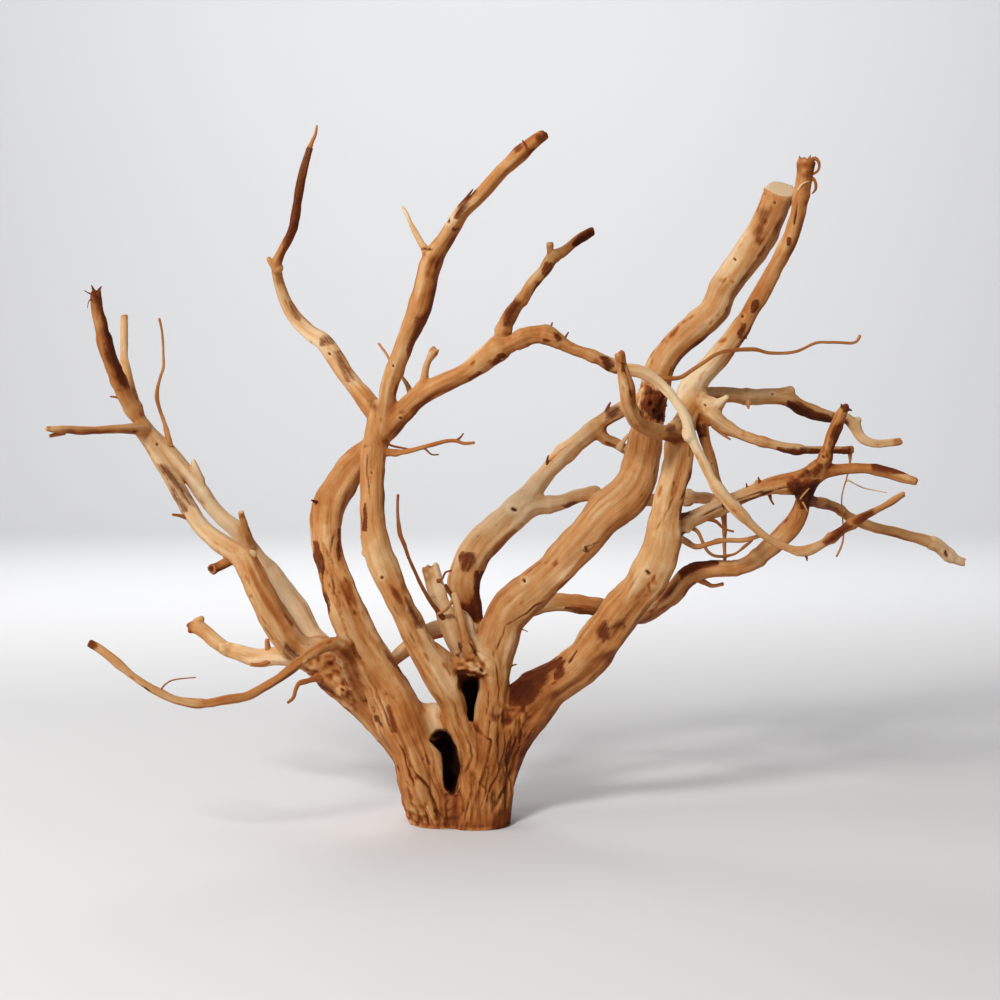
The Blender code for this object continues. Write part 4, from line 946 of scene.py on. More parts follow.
grow("upper_right_arm", "right_arms", [
    (695, 399, 4, 9.5), (712, 395, 12, 8), (730, 395, 18, 7.6), (748, 396.5, 24, 8), (768, 396, 30, 7.4),
    (785, 397, 34, 8.6), (800, 406, 38, 7), (815.5, 412, 42, 6.6), (831, 417, 46, 5.4),
    (844.5, 418, 48, 5.2), (853, 424, 50, 5.4), (858, 434, 50, 4.8), (866, 440.5, 48, 4.6),
    (880, 443, 44, 4.4), (900, 440.5, 38, 3.8),
], tone=(0.65, 0.6, 0.6, 0.55, 0.6, 0.7, 0.6), broken=True)
grow("lower_right_arm", "right_arms", [
    (700, 408, -2, 10), (714, 418, -10, 8), (727, 428, -16, 6.2), (740, 434.8, -18, 5), (756, 440, -19, 4.8),
    (772, 444, -19, 4.5), (788, 447.8, -18, 4.4), (804, 449.5, -17, 4.3), (835, 449.5, -12, 3.9),
    (851, 449, -10, 3.6),
], tone=(0.7, 0.6, 0.5, 0.5, 0.45), broken=True)
grow("arm_horn", "right_arms", [
    (694, 404, 2, 10), (705, 405, -5, 8.4), (714, 406, -9, 6.4), (720, 402, -12, 4), (726, 397, -14, 2.2),
], tone=(0.75, 0.75, 0.8), fillet=0.8)
grow("arm_knuckle", "right_arms", [(853, 423, 50, 5.4), (857, 419.5, 50, 3.6)], tone=0.7, fillet=0.6)
grow("arm_lump", "right_arms", [(786, 393, 34, 7), (790, 390, 34, 5)], tone=0.6, fillet=0.4)
grow("crossing_knot", "crossing_branch", [(687, 434, -52, 5.6), (687, 437, -54, 4.4)], tone=0.85, fillet=0.6)
grow("fork_lump", "second_stem", [(674, 427, -32, 8), (686, 422, -26, 8)], tone=0.5, fillet=1.0)
grow("down_link", "right_arms", [
    (700, 420, -6, 7), (704.5, 438, -14, 5.4), (708.5, 450, -18, 4.8), (713, 464, -20, 4.2),
    (717, 478, -20, 3.6), (721, 490, -16, 3.6), (726, 502, -11, 4),
], tone=0.4)
twigs("driftwood_right_twigs", [
    ([(652, 376, -50, 3.4), (668, 378.5, -50, 2.3), (680, 377, -48, 2), (691, 370, -46, 1.9),
        (703, 362, -44, 1.9), (715, 354, -42, 2), (728, 350, -40, 2), (752, 348.5, -36, 1.7),
        (770, 352.5, -32, 1.8), (795, 351, -28, 1.5), (815, 342.5, -24, 1.6), (830, 342, -22, 1.5),
        (853, 342, -18, 1.5), (859.5, 335, -16, 1.5)], 0.47),
    ([(849, 448, -10, 3), (849.5, 462, -8, 1.3), (846, 478, -6, 0.9), (842.5, 490, -6, 0.8),
        (841, 502, -6, 0.8), (843, 531, -8, 0.8), (841, 545, -10, 1), (836, 556, -12, 1.1)], 0.5),
    ([(549, 334, -49, 3.2), (550, 329, -49, 1.6), (552, 322, -49, 0.9)], 0.2),
    ([(563, 342, -50, 3), (565, 337, -50, 1.5), (568, 332, -50, 0.8)], 0.2),
    ([(804, 552, -52, 2.4), (806, 557, -52, 1.4), (806.5, 560, -52, 0.8)], 0.2),
    ([(810, 162, -20, 2.6), (815, 158, -21, 1.8), (818.5, 163, -21.5, 1.5), (817.5, 170, -21.5, 1.4),
        (812, 174, -21, 1.4)], 0.45),
    ([(806, 182, -18.5, 3), (812, 178, -20, 1.8), (815, 183, -20.5, 1.6), (815, 189, -20, 1.3),
        (812, 193, -19, 0.7)], 0.4),
    ([(800, 166, -20, 3), (799.5, 160, -20, 1.6), (799, 156, -20, 0.6)], 0.45),
    ([(808, 165, -20, 3), (809, 158, -20, 1.4), (810, 155.5, -20, 0.6)], 0.45),
    ([(797, 190, -20, 1.4), (801, 184, -21.8, 1.1), (807, 181, -21.6, 1.0), (812, 180, -19, 0.9)], 0.8),
    ([(517, 632, -2, 1.4), (522, 629, -3, 0.8), (527, 631, -4, 0.5)], 0.2),
    ([(508, 668, -5, 1.6), (512, 665, -6, 1), (516, 664, -7, 0.6)], 0.05),
    ([(741, 314, -3, 2.2), (738, 316, -3, 1.3), (727, 330, -2, 1), (716, 347, 0, 0.9)], 0.2),
    ([(741, 331, -4, 2.6), (744, 335, -5, 1.6), (746, 338, -6, 0.8)], 0.2),
    ([(746, 397, 22, 5), (747, 402, 20, 3.4), (748, 408, 18, 1.2)], 0.55),
    ([(713, 425, -12, 2.4), (722, 433, -17, 1.4), (730, 439, -20, 0.9)], 0.45),
    ([(846, 480, -6, 1.2), (848, 480, -6, 0.8), (862, 487, -7, 0.7), (875, 490, -8, 0.5),
        (886, 492, -8, 0.4)], 0.85),
])
mark("knot", "long_crossing_branch down_link lower_right_arm", (1.8, 0.0004, (711, 463), (711, 464)))
mark("patch", "second_stem right_rib thick_stem",
    (0.9, (509, 682), (520, 674), (533, 669), (548, 661), (562, 656), (557, 665), (548, 672), (546, 681),
        (538, 695), (534, 702), (522, 706), (508, 706), (508, 694)),
    (1.3, (509, 688), (520, 680), (534, 678), (536, 688), (528, 700), (518, 703), (510, 702)),
)
mark("patch", "second_stem",
    (0.75, (557, 662), (564, 659), (565, 666), (562, 676), (553, 679), (555, 670)),
    (0.75, (594, 630), (601, 623), (606, 620), (610, 625), (617, 620), (624, 618), (625, 626), (618, 629),
        (611, 628), (608, 634), (609, 641), (603, 639), (596, 637)),
    (0.75, (645, 584), (650, 580), (651, 590), (646, 594)),
)
mark("crack", "second_stem",
    (1.4, 0.0003, (568, 663), (573, 656), (578, 649)),
    (0.9, 0.0003, (624, 600), (630, 590), (636, 581)),
    (0.8, 0.0003, (628, 602), (634, 592)),
    (1.2, 0.0004, (668, 440), (664, 436), (658, 434)),
    (1.4, 0.0006, (684, 455), (682, 475), (675, 495), (665, 515), (655, 530)),
    (1.2, 0.0004, (690, 470), (688, 485), (680, 500)),
    (1.2, 0.0004, (640, 572), (632, 584), (625, 596)),
)
mark("stain", "second_stem", (10, 0.1, (560, 690), (580, 675), (600, 655)))
mark("patch", "second_stem forked_prong", (0.55, (668, 424), (674, 423), (676, 430), (670, 434), (664, 430)))
mark("patch", "second_stem crown_bridge", (0.75, (682, 498), (690, 502), (690, 514), (680, 520), (678, 510)))
mark("crack", "forked_prong",
    (1.6, 0.0006, (617, 356), (620, 366), (624, 376), (627, 388)),
    (1.1, 0.0004, (624, 366), (628, 380), (630, 398)),
)
mark("patch", "forked_prong", (0.75, (620, 362), (624, 362), (625, 372), (621, 372)))
mark("patch", "long_crossing_branch",
    (0.95, (598, 355), (607, 355), (615, 366), (607, 371), (600, 364)),
    (0.75, (540, 338), (548, 338), (549, 342), (541, 342)),
    (0.95, (552, 333), (558, 332), (562, 338), (556, 342)),
    (1.0, (822, 542), (836, 528), (848, 522), (852, 526), (840, 538), (826, 546)),
    (0.8, (850, 523), (862, 511), (874, 508), (872, 515), (858, 524)),
)
mark("patch", "ragged_stem",
    (0.75, (752, 302), (757, 299), (758, 306), (754, 312), (750, 310)),
    (0.75, (736, 332), (742, 322), (746, 326), (742, 336), (738, 338)),
    (0.75, (787, 236), (791, 238), (790, 246), (786, 244)),
)
mark("knot", "ragged_stem", (2.6, 0.0006, (741, 315), (742, 316)))
mark("crack", "ragged_stem",
    (1.2, 0.0004, (797, 196), (796, 210), (793, 226)),
    (1.4, 0.0004, (769, 258), (765, 268), (767, 262)),
)
mark("patch", "second_stem lower_right_arm down_link",
    (0.75, (696, 424), (706, 422), (706, 436), (698, 438)),
)
mark("patch", "lower_right_arm",
    (1.05, (776, 446), (792, 448), (812, 449), (832, 449), (850, 448), (850, 458), (820, 458), (792, 458),
        (776, 454)),
)
mark("knot", "lower_right_arm arm_horn", (1.8, 0.0004, (704, 404), (705, 405)))
mark("knot", "second_stem", (3, 0.0004, (646, 571), (648, 573)))
mark("patch", "upper_right_arm arm_lump",
    (1.25, (787, 400), (798, 404), (812, 411), (824, 415), (838, 416), (840, 426), (822, 426), (808, 421),
        (796, 414), (786, 407)),
)
mark("patch", "upper_right_arm", (0.75, (840, 420), (846, 418), (850, 426), (845, 426)))
mark("knot", "upper_right_arm", (1.8, 0.0004, (772, 393), (773, 393)))


# The crown
# A dark, bent crown of short branches on the far right, bridged to the second stem above and below, with the
# tangle of bars and hooks between.
grow("crown_bridge", "crown", [
    (660, 535, -32, 12), (672, 529, -30, 11), (684, 522, -26, 9.4), (697, 516, -22, 8.7), (710, 510, -16, 8),
    (725, 503, -10, 7.4),
], tone=(0.62, 0.75, 0.72))
grow("crown_arm", "crown", [
    (718, 506, -12, 7), (740, 497, -14, 7.6), (755.5, 491, -18, 7.8), (770.5, 486, -22, 8.6),
    (786, 484.5, -26, 9.6), (801, 481, -30, 11), (813, 475, -33, 10.6), (821.5, 464, -35, 8.4),
    (826, 452, -37, 6.6), (830.5, 438, -38, 5.4), (836, 424, -39, 5), (841, 413, -40, 4.6),
    (845, 406.5, -40, 2.8),
], tone=(0.68, 0.58, 0.5, 0.45, 0.4, 0.42))
grow("crown_knob", "crown", [(806, 479, -33, 7), (808, 475, -35, 5.4)], tone=0.35, fillet=0.8)
grow("crown_lump", "crown", [(825, 457, -36, 7), (822, 460, -38, 5)], tone=0.3, fillet=0.7)
grow("crown_back_lump", "crown", [(760, 486, -18, 6), (758, 482, -18, 4)], tone=0.5, fillet=0.5)
grow("crown_finger", "crown", [
    (816, 471, -34, 9.5), (836, 469.5, -34, 6), (853, 468.5, -36, 5.4), (870, 469, -38, 5.6),
    (888, 472.4, -40, 5.8), (902, 477, -42, 4.6), (914, 481, -44, 3.8),
], tone=(0.36, 0.3, 0.4), broken=True)
grow("far_right_tip", "crown", [
    (802, 493, -22, 8), (811, 500, -6, 5.6), (825, 503, 14, 4.8), (837.5, 508, 24, 5),
    (848.5, 516.5, 30, 5.2), (862, 523, 34, 5.2), (880, 528.5, 38, 4.8), (900, 533, 42, 4.8),
    (920, 538, 46, 5), (935, 543.5, 48, 6), (945, 551.5, 50, 5.8), (953, 557.5, 51, 4.8),
    (963, 561, 52, 4.2),
], tone=(0.35, 0.5, 0.55, 0.5, 0.85), broken=True)
grow("low_branch", "crown", [
    (478, 640, 30, 14), (500, 625, 42, 11), (522, 611, 52, 9.8), (545, 603, 58, 8.8), (570, 602.5, 60, 9),
    (595, 606, 58, 9.8), (620, 613, 50, 10), (640, 614, 36, 9.6), (652, 609, 20, 9.2),
    (663.5, 601.5, 8, 9.5), (675, 592, 0, 10), (685.5, 579, -6, 10.6), (697, 571, -10, 9.6),
    (715, 568, -14, 8.6), (735, 566.5, -16, 7.8), (752, 561, -18, 8), (766.5, 549.5, -20, 8.8),
    (778.5, 538, -22, 9), (790.5, 526.5, -24, 9.3), (799, 512.5, -26, 8.2), (803, 498, -28, 7),
    (808, 485, -31, 8),
], tone=(0.4, 0.5, 0.45, 0.4, 0.45, 0.45, 0.4), fillet=0.4)
twigs("driftwood_crown_twigs", [
    ([(696, 577, -10, 3.6), (705, 583, -10, 2.4), (712, 585.8, -10, 1.9), (723, 583.5, -10, 1.7)], 0.4),
    ([(722, 508, -10, 3.6), (724, 525, -10, 2.6), (724, 543, -12, 2), (724, 561, -14, 1.9)], 0.4),
    ([(674, 532, -28, 4), (685, 540, -24, 3.2), (696, 546, -24, 3.1), (708, 543.3, -26, 2.7),
        (722, 540, -30, 2.5), (748, 539, -42, 2.3), (762, 534, -48, 2.2)], 0.45),
    ([(689, 527, -24, 3), (697.5, 531.5, -25, 2), (703, 543, -25, 1.8), (707.5, 551, -24, 1.7),
        (715, 555.5, -20, 1.6), (726, 556, -14, 1.6)], 0.45),
    ([(724, 556, -15, 1.8), (735, 553, -14, 1.4), (745, 545, -14, 1.3), (752, 540, -15, 1)], 0.4),
    ([(703, 516, -20, 3), (706, 518, -20, 2.2), (715, 521, -20, 1.6), (723, 528, -19, 1.2),
        (733, 531, -18, 1)], 0.4),
    ([(798, 501, -29, 0.9), (803, 494, -34, 0.8), (808.5, 488, -36, 0.5)], 0.75),
    ([(801, 500, -30, 1.0), (804.5, 506, -33, 0.8), (807, 511, -34, 0.5)], 0.7),
    ([(842, 412, -40, 2.6), (842, 408, -41, 1.8), (841, 404, -41, 0.9)], 0.05),
    ([(844, 410, -40, 2.6), (848, 409, -40, 1.6), (851, 410, -40, 0.8)], 0.05),
    ([(748, 492, -16, 3), (747, 488, -17, 1.6), (746, 483, -17, 0.8)], 0.2),
    ([(761, 487, -20, 3), (759, 481, -21, 1.5), (758, 477, -21, 0.8)], 0.2),
    ([(768, 492, -20, 2.4), (770, 499, -21, 1.2), (773, 504, -22, 0.8)], 0.2),
])
mark("patch", "crown_finger",
    (1.0, (870, 463), (884, 465), (897, 469), (908, 474), (898, 474), (882, 472), (872, 469)),
)
mark("patch", "low_branch",
    (0.75, (652, 606), (660, 596), (672, 584), (682, 576), (680, 584), (668, 598), (658, 607)),
    (1.3, (678, 570), (684, 560), (700, 555), (718, 556), (716, 564), (702, 567), (690, 574), (680, 580)),
    (0.75, (564, 606), (578, 605), (592, 609), (603, 607), (600, 622), (585, 616), (574, 612)),
)
mark("patch", "crown_arm far_right_tip low_branch crown_knob crown_finger",
    (0.9, (786, 482), (796, 478), (808, 480), (818, 478), (822, 486), (816, 498), (810, 508), (800, 509),
        (796, 498), (788, 490)),
    # These two patches are painted shade: dark bark colour that stands in for a hollow where the branches
    # meet
    (1.4, (790, 482), (799, 480), (806, 487), (797, 494)),
    (1.4, (807, 484), (816, 482), (813, 498), (806, 503)),
)
mark("rough", "crown_arm crown_knob crown_lump crown_finger",
    (0.0004, (788, 478), (804, 468), (816, 462), (824, 444), (834, 424), (842, 424), (838, 446), (830, 464),
        (816, 480), (798, 488)),
)
mark("patch", "crown_arm crown_lump", (0.75, (829, 448), (834, 428), (839, 424), (838, 440), (832, 456)))
mark("patch", "crown_arm crown_knob crown_lump",
    (0.75, (812, 470), (819, 462), (823, 466), (818, 474), (812, 478)),
)
mark("patch", "crown_arm",
    (0.75, (730, 504), (745, 498), (758, 495), (756, 499), (742, 503), (733, 508)),
    (0.75, (841, 404), (849, 402), (850, 412), (842, 412)),
    (0.75, (712, 508), (722, 503), (728, 506), (718, 512)),
)
mark("crack", "crown_arm",
    (1.4, 0.0004, (760, 494), (775, 489), (792, 486)),
    (1.0, 0.0004, (740, 503), (756, 497), (774, 491), (786, 487)),
    (1.4, 0.0005, (826, 452), (830, 440), (834, 428), (838, 418)),
)
mark("crack", "low_branch",
    (1.2, 0.0004, (790, 528), (796, 518), (799, 508)),
    (1.4, 0.0005, (684, 566), (694, 562), (706, 561)),
)
mark("patch", "far_right_tip", (0.75, (944, 550), (948, 556), (946, 560), (942, 553)))
mark("stain", "crown_arm", (5, 0.25, (832, 470), (834, 450), (838, 430)))
mark("knot", "crown_arm low_branch", (3, 0.0008, (797, 492), (799, 494)))
mark("knot", "crown_arm crown_knob", (3, 0.0005, (806, 470), (807, 471)))
mark("knot", "crown_arm crown_lump", (2.4, 0.0005, (822, 456), (823, 457)))
mark("crack", "crown_arm crown_bridge",
    (1.1, 0.0004, (700, 517), (716, 508), (734, 500), (752, 494), (768, 488)),
)
mark("patch", "crown_arm crown_knob", (0.7, (800, 474), (806, 468), (812, 468), (812, 476), (804, 480)))
mark("crack", "upper_right_arm", (1.5, 0.0006, (794, 400), (806, 408), (820, 414), (832, 417)))
mark("knot", "crown_bridge second_stem", (5, 0.0008, (683, 534), (685, 536)))


# The skin of the grown wood
# All the limbs are one wood, so their skin is made in one go: two hollows are rotted out of the stump, the
# foot and the thick stem's top are sawn flat, knots, cracks, ridges and scraps of bark are worked into it,
# and it is shown as ten pieces that meet without a gap.
FOOT_REACH = 0.12
STEM_CUT = (782, 188, 8)
STEM_CUT_LEAN_RIGHT, STEM_CUT_LEAN_FRONT = math.radians(14), math.radians(33)
STEM_OFFCUT_LOW, STEM_OFFCUT_HIGH = (-0.030, -0.0125, 0.0), (0.018, 0.025, 0.030)
HOLLOW_RIM, CARVE_ROOM, SAW_ROOM = 0.0012, 0.004, 0.002
WALL_WAVES, WALL_WAVE_SIZE = 0.0006, 0.006
BLEND_REACH = 0.006  # how far apart two limbs' skins are where one grain has given way to the other
GRAIN_SHIFT_ALONG, GRAIN_SHIFT_ACROSS = 0.41, 0.013  # from one limb's grain to the next one's
pockets = []


def seen(places):
    """Where places are in the picture: steps across and steps down."""
    rays = places - EYE
    ahead = rays[:, 1] * math.cos(LOOK_DOWN) - rays[:, 2] * math.sin(LOOK_DOWN)
    above = rays[:, 1] * math.sin(LOOK_DOWN) + rays[:, 2] * math.cos(LOOK_DOWN)
    return MIDDLE + FOCAL_STEPS * rays[:, 0] / ahead, MIDDLE - FOCAL_STEPS * above / ahead


def outline_distance(spots, outline):
    """How far spots of the picture are outside a closed outline, in steps; below zero is inside."""
    nearest = np.full(len(spots), np.inf)
    inside = np.zeros(len(spots), bool)
    for start, end in zip(outline, np.roll(outline, -1, axis=0)):
        side = end - start
        t = np.clip((spots - start) @ side / (side @ side), 0, 1)
        nearest = np.minimum(nearest, np.linalg.norm(spots - start - t[:, None] * side, axis=1))
        crosses = (start[1] > spots[:, 1]) != (end[1] > spots[:, 1])
        rise = side[1] if side[1] else 1e-9
        inside ^= crosses & (spots[:, 0] < start[0] + (spots[:, 1] - start[1]) / rise * side[0])
    return np.where(inside, -nearest, nearest)


def carve(outline, front, mouth, back, taper):
    """Hollows out the wood behind an outline in the picture, from the front depth to the back one. Past its
    mouth the hollow narrows."""
    outline = np.array(outline, float)
    middle = outline.mean(0)
    corners = np.array([placed(*point, depth)[0] for point in outline for depth in (front, back)])
    first, last = cells(corners.min(0) - CARVE_ROOM, corners.max(0) + CARVE_ROOM)
    x, y, z = np.broadcast_arrays(*cell_places(first, last))
    places = np.stack([x, y, z], -1).reshape(-1, 3)
    across, down = seen(places)
    depth = places[:, 1] / (STEP * DEPTH_STRETCH)
    narrow = 1 - (1 - taper) * np.clip((depth - mouth) / (back - mouth), 0, 1) ** 2
    spots = np.stack([across, down], 1)
    spots = middle + (spots - middle) / narrow[:, None]
    edge = outline_distance(spots, outline) * STEP * narrow
    edge += WALL_WAVES * wander(places, WALL_WAVE_SIZE, seed=3)
    end = (depth - back) * STEP * DEPTH_STRETCH
    pocket = np.maximum(edge, end).astype(np.float32).reshape(x.shape)
    block = field[first[0]:last[0], first[1]:last[1], first[2]:last[2]]
    rim = np.float32(HOLLOW_RIM)
    blend = np.maximum(rim - np.abs(block + pocket), 0) / rim
    block[...] = np.maximum(block, -pocket) + blend * blend * rim / 4
    pockets.append((outline, front, back))


def saw_off(frame_of_cut, low, high):
    """Takes a box of wood away, given in the cut's own frame."""
    corners = [tuple(frame_of_cut @ Vector(corner)) for corner in itertools.product(*zip(low, high))]
    corners = np.array(corners)
    first, last = cells(corners.min(0) - SAW_ROOM, corners.max(0) + SAW_ROOM)
    x, y, z = cell_places(first, last)
    back = frame_of_cut.inverted()
    outside = None
    for axis in range(3):
        own = x * back[axis][0] + y * back[axis][1] + z * back[axis][2] + back[axis][3]
        gap = np.maximum(low[axis] - own, own - high[axis])
        outside = gap if outside is None else np.maximum(outside, gap)
    block = field[first[0]:last[0], first[1]:last[1], first[2]:last[2]]
    np.maximum(block, -outside.astype(np.float32), out=block)


def bits(limb):
    """The straight bits of a limb's middle line, one row each: the start and the step to the end, both with
    the radius, the two cross directions, the run and the tone."""
    points, side, over = limb["points"], limb["side"], limb["over"]
    whole = np.column_stack([points, side, over, limb["run"], limb["tone"]])
    return np.column_stack([whole[:-1], np.diff(whole, axis=0)])


def grain_at(rows, t, off, seed):
    """The grain of places beside bits of limbs: how far along the limb, and where across it."""
    side = rows[:, 4:7] + t[:, None] * rows[:, 16:19]
    over = rows[:, 7:10] + t[:, None] * rows[:, 19:22]
    along = rows[:, 10] + t * rows[:, 22]
    across = (off * side).sum(1) + GRAIN_SHIFT_ACROSS * seed
    return np.stack([along + GRAIN_SHIFT_ALONG * seed, across, (off * over).sum(1)], 1)


def measured(rows, places):
    """How far places are outside each of some bits of limbs, how far along the bit the nearest point is, and
    the way to the place from there."""
    off = places[:, None, :] - rows[None, :, :3]
    step = rows[:, 12:15]
    t = np.clip((off * step).sum(2) / (step * step).sum(1), 0, 1)
    off -= t[..., None] * step
    return np.sqrt((off * off).sum(2)) - rows[:, 3] - t * rows[:, 15], t, off


def line_distance(spots, line):
    """How far spots of the picture are from a line, in steps, and how far along it the nearest point is."""
    nearest = np.full(len(spots), np.inf)
    progress = np.zeros(len(spots))
    lengths = np.concatenate([[0], np.cumsum(np.linalg.norm(np.diff(line, axis=0), axis=1))])
    for start, end, run in zip(line, line[1:], lengths):
        side = end - start
        t = np.clip((spots - start) @ side / (side @ side), 0, 1)
        gap = np.linalg.norm(spots - start - t[:, None] * side, axis=1)
        closer = gap < nearest
        nearest[closer] = gap[closer]
        progress[closer] = (run + t * np.linalg.norm(side))[closer]
    return nearest, progress / lengths[-1]


def smooth(value, low, high):
    t = np.clip((value - low) / (high - low), 0, 1)
    return t * t * (3 - 2 * t)


carve([
    (464, 677), (470, 675), (478, 676), (480, 688), (478, 700), (475, 713), (472, 721), (468, 721),
    (465, 710), (463, 696), (459, 690), (461, 683),
], front=-70, mouth=-12, back=10, taper=0.55)
carve([
    (427, 740), (430, 735), (438, 730), (445, 730), (450, 735), (455, 745), (458, 757), (459, 772),
    (457, 783), (452, 793), (447, 787), (443, 778), (441, 765), (439, 753), (433, 747),
], front=-70, mouth=-18, back=8, taper=0.5)
saw_off(Matrix.Identity(4), (-FOOT_REACH, -FOOT_REACH, -FOOT_REACH), (FOOT_REACH, FOOT_REACH, 0.0))
stem_cut = Matrix.Translation(placed(*STEM_CUT)[0])
stem_cut @= Matrix.Rotation(STEM_CUT_LEAN_RIGHT, 4, "Y") @ Matrix.Rotation(STEM_CUT_LEAN_FRONT, 4, "X")
saw_off(stem_cut, STEM_OFFCUT_LOW, STEM_OFFCUT_HIGH)

grown = openvdb.FloatGrid(FAR)
grown.copyFromArray(field)
places, quads = grown.convertToQuads(isovalue=0.0)
places = places.astype(float) * FINE + FIELD_LOW
del grown, field

# The nearest two limbs to each point of the skin, found in small blocks
BLOCK, LIMB_REACH, NO_LIMB = 0.010, 0.011, 1.0
rows = np.vstack([bits(limb) for limb in limbs])
owner = np.repeat(np.arange(len(limbs)), [len(limb["points"]) - 1 for limb in limbs])
reach = np.maximum(rows[:, 3], rows[:, 3] + rows[:, 15])[:, None] + LIMB_REACH
rows_low = np.minimum(rows[:, :3], rows[:, :3] + rows[:, 12:15]) - reach
rows_high = np.maximum(rows[:, :3], rows[:, :3] + rows[:, 12:15]) + reach
gaps = np.full((2, len(places)), NO_LIMB)
nearest = np.zeros((2, len(places)), int)
skin_grain = np.zeros((2, len(places), 3))
skin_tone = np.zeros((2, len(places)))
block_of = np.floor((places - FIELD_LOW) / BLOCK).astype(int) @ (1, 1000, 1000000)
order = np.argsort(block_of, kind="stable")
for members in np.split(order, np.nonzero(np.diff(block_of[order]))[0] + 1):
    spots = places[members]
    near = (rows_low < spots.max(0)).all(1) & (rows_high > spots.min(0)).all(1)
    near = np.nonzero(near)[0]
    gap, t, off = measured(rows[near], spots)
    every = np.arange(len(members))
    for which in (0, 1):
        best = gap.argmin(1)
        row = near[best]
        gaps[which, members] = gap[every, best]
        nearest[which, members] = owner[row]
        skin_grain[which, members] = grain_at(rows[row], t[every, best], off[every, best], owner[row] + 1)
        skin_tone[which, members] = rows[row, 11] + t[every, best] * rows[row, 23]
        gap = np.where(owner[near] == owner[row][:, None], NO_LIMB, gap)
alone = gaps[1] - gaps[0] > BLEND_REACH
for values in (nearest, skin_tone, skin_grain):
    values[1, alone] = values[0, alone]

# Each face takes its grain from one pair of limbs, so that no pattern jumps within it.
pair = nearest[:, quads[:, 0]].copy()
for corner in (1, 2, 3):
    for which in (0, 1):
        other = nearest[which, quads[:, corner]]
        differs = (other != pair[0]) & (pair[0] == pair[1])
        pair[1, differs] = other[differs]
corner_grain = np.zeros((2, len(quads), 4, 3))
corner_gap = np.ones((2, len(quads), 4))
for which in (0, 1):
    for corner in range(4):
        spots = quads[:, corner]
        missing = np.ones(len(quads), bool)
        for source in (0, 1):
            found = missing & (nearest[source, spots] == pair[which])
            corner_grain[which, found, corner] = skin_grain[source, spots[found]]
            corner_gap[which, found, corner] = gaps[source, spots[found]]
            missing &= ~found
        for number in np.unique(pair[which, missing]):
            faces = np.nonzero(missing & (pair[which] == number))[0]
            own = rows[owner == number]
            gap, t, off = measured(own, places[spots[faces]])
            best, every = gap.argmin(1), np.arange(len(faces))
            seed = np.full(len(faces), number + 1)
            corner_grain[which, faces, corner] = grain_at(own[best], t[every, best], off[every, best], seed)
            corner_gap[which, faces, corner] = gap[every, best]
corner_share = 1 - smooth(corner_gap[1] - corner_gap[0], -BLEND_REACH, BLEND_REACH)
other_share = 1 - smooth(gaps[1] - gaps[0], -BLEND_REACH, BLEND_REACH)
other_share[alone] = 0
names = np.array([limb["name"] for limb in limbs])
girth = np.array([np.median(limb["points"][:, 3]) for limb in limbs])[nearest[0]]
tone = skin_tone[0] * (1 - other_share) + skin_tone[1] * other_share


def point_normals(points, faces):
    """The outward direction at each point of a skin of four-cornered faces."""
    across = points[faces[:, 2]] - points[faces[:, 0]]
    over = points[faces[:, 3]] - points[faces[:, 1]]
    square = np.cross(across, over)
    normals = np.zeros_like(points)
    for axis in range(3):
        for corner in range(4):
            normals[:, axis] += np.bincount(faces[:, corner], square[:, axis], len(points))
    return normals / np.maximum(np.linalg.norm(normals, axis=1), 1e-12)[:, None]


def along_limbs(cell, seed, warp=0.0):
    """A wandering value drawn out along the grain, over the whole skin."""
    one = wander(skin_grain[0] + warp, cell, seed)
    return one + other_share * (wander(skin_grain[1] + warp, cell, seed) - one)


SAWN_REACH = 0.0012
STUMP_LOW, STUMP_HIGH = 0.02, 0.085  # between these heights the stump's ridges fade out
outward = point_normals(places, quads)
facing = -(outward * (places - EYE)).sum(1) / np.linalg.norm(places - EYE, axis=1)
stem_top = np.array(stem_cut.to_3x3() @ Vector((0, 0, 1)))
off_stem_top = (places - np.array(stem_cut.translation)) @ stem_top
on_stem_top = (np.abs(off_stem_top) < SAWN_REACH) & (outward @ stem_top > 0.8)
on_foot = places[:, 2] < SAWN_REACH
sawn = ((on_foot & (outward[:, 2] < -0.8)) | on_stem_top).astype(float)
low_down = 1 - smooth(places[:, 2], STUMP_LOW, STUMP_HIGH)
full = np.clip(girth / 0.010, 0.25, 1.3)

# Broad flutes around each limb, of two, three, five and eight lobes that turn slowly along it
flutes = np.zeros((2, len(places)))
share = np.array([limb["fluted"] for limb in limbs])
for which in (0, 1):
    number = nearest[which] + 1
    along = skin_grain[which, :, 0] - GRAIN_SHIFT_ALONG * number
    across, over = skin_grain[which, :, 1] - GRAIN_SHIFT_ACROSS * number, skin_grain[which, :, 2]
    angle, radius = np.arctan2(over, across), np.hypot(across, over)
    drift = np.stack([along / 0.05, number * 1.0, number * 0.0], 1)
    for lobes, height in ((2, 1.0), (3, 0.9), (5, 0.6), (8, 0.35)):
        turn = lobes * angle + 4 * wander(drift, seed=lobes)
        flutes[which] += height * np.cos(turn) * share[nearest[which]] * radius
relief = flutes[0] + other_share * (flutes[1] - flutes[0])

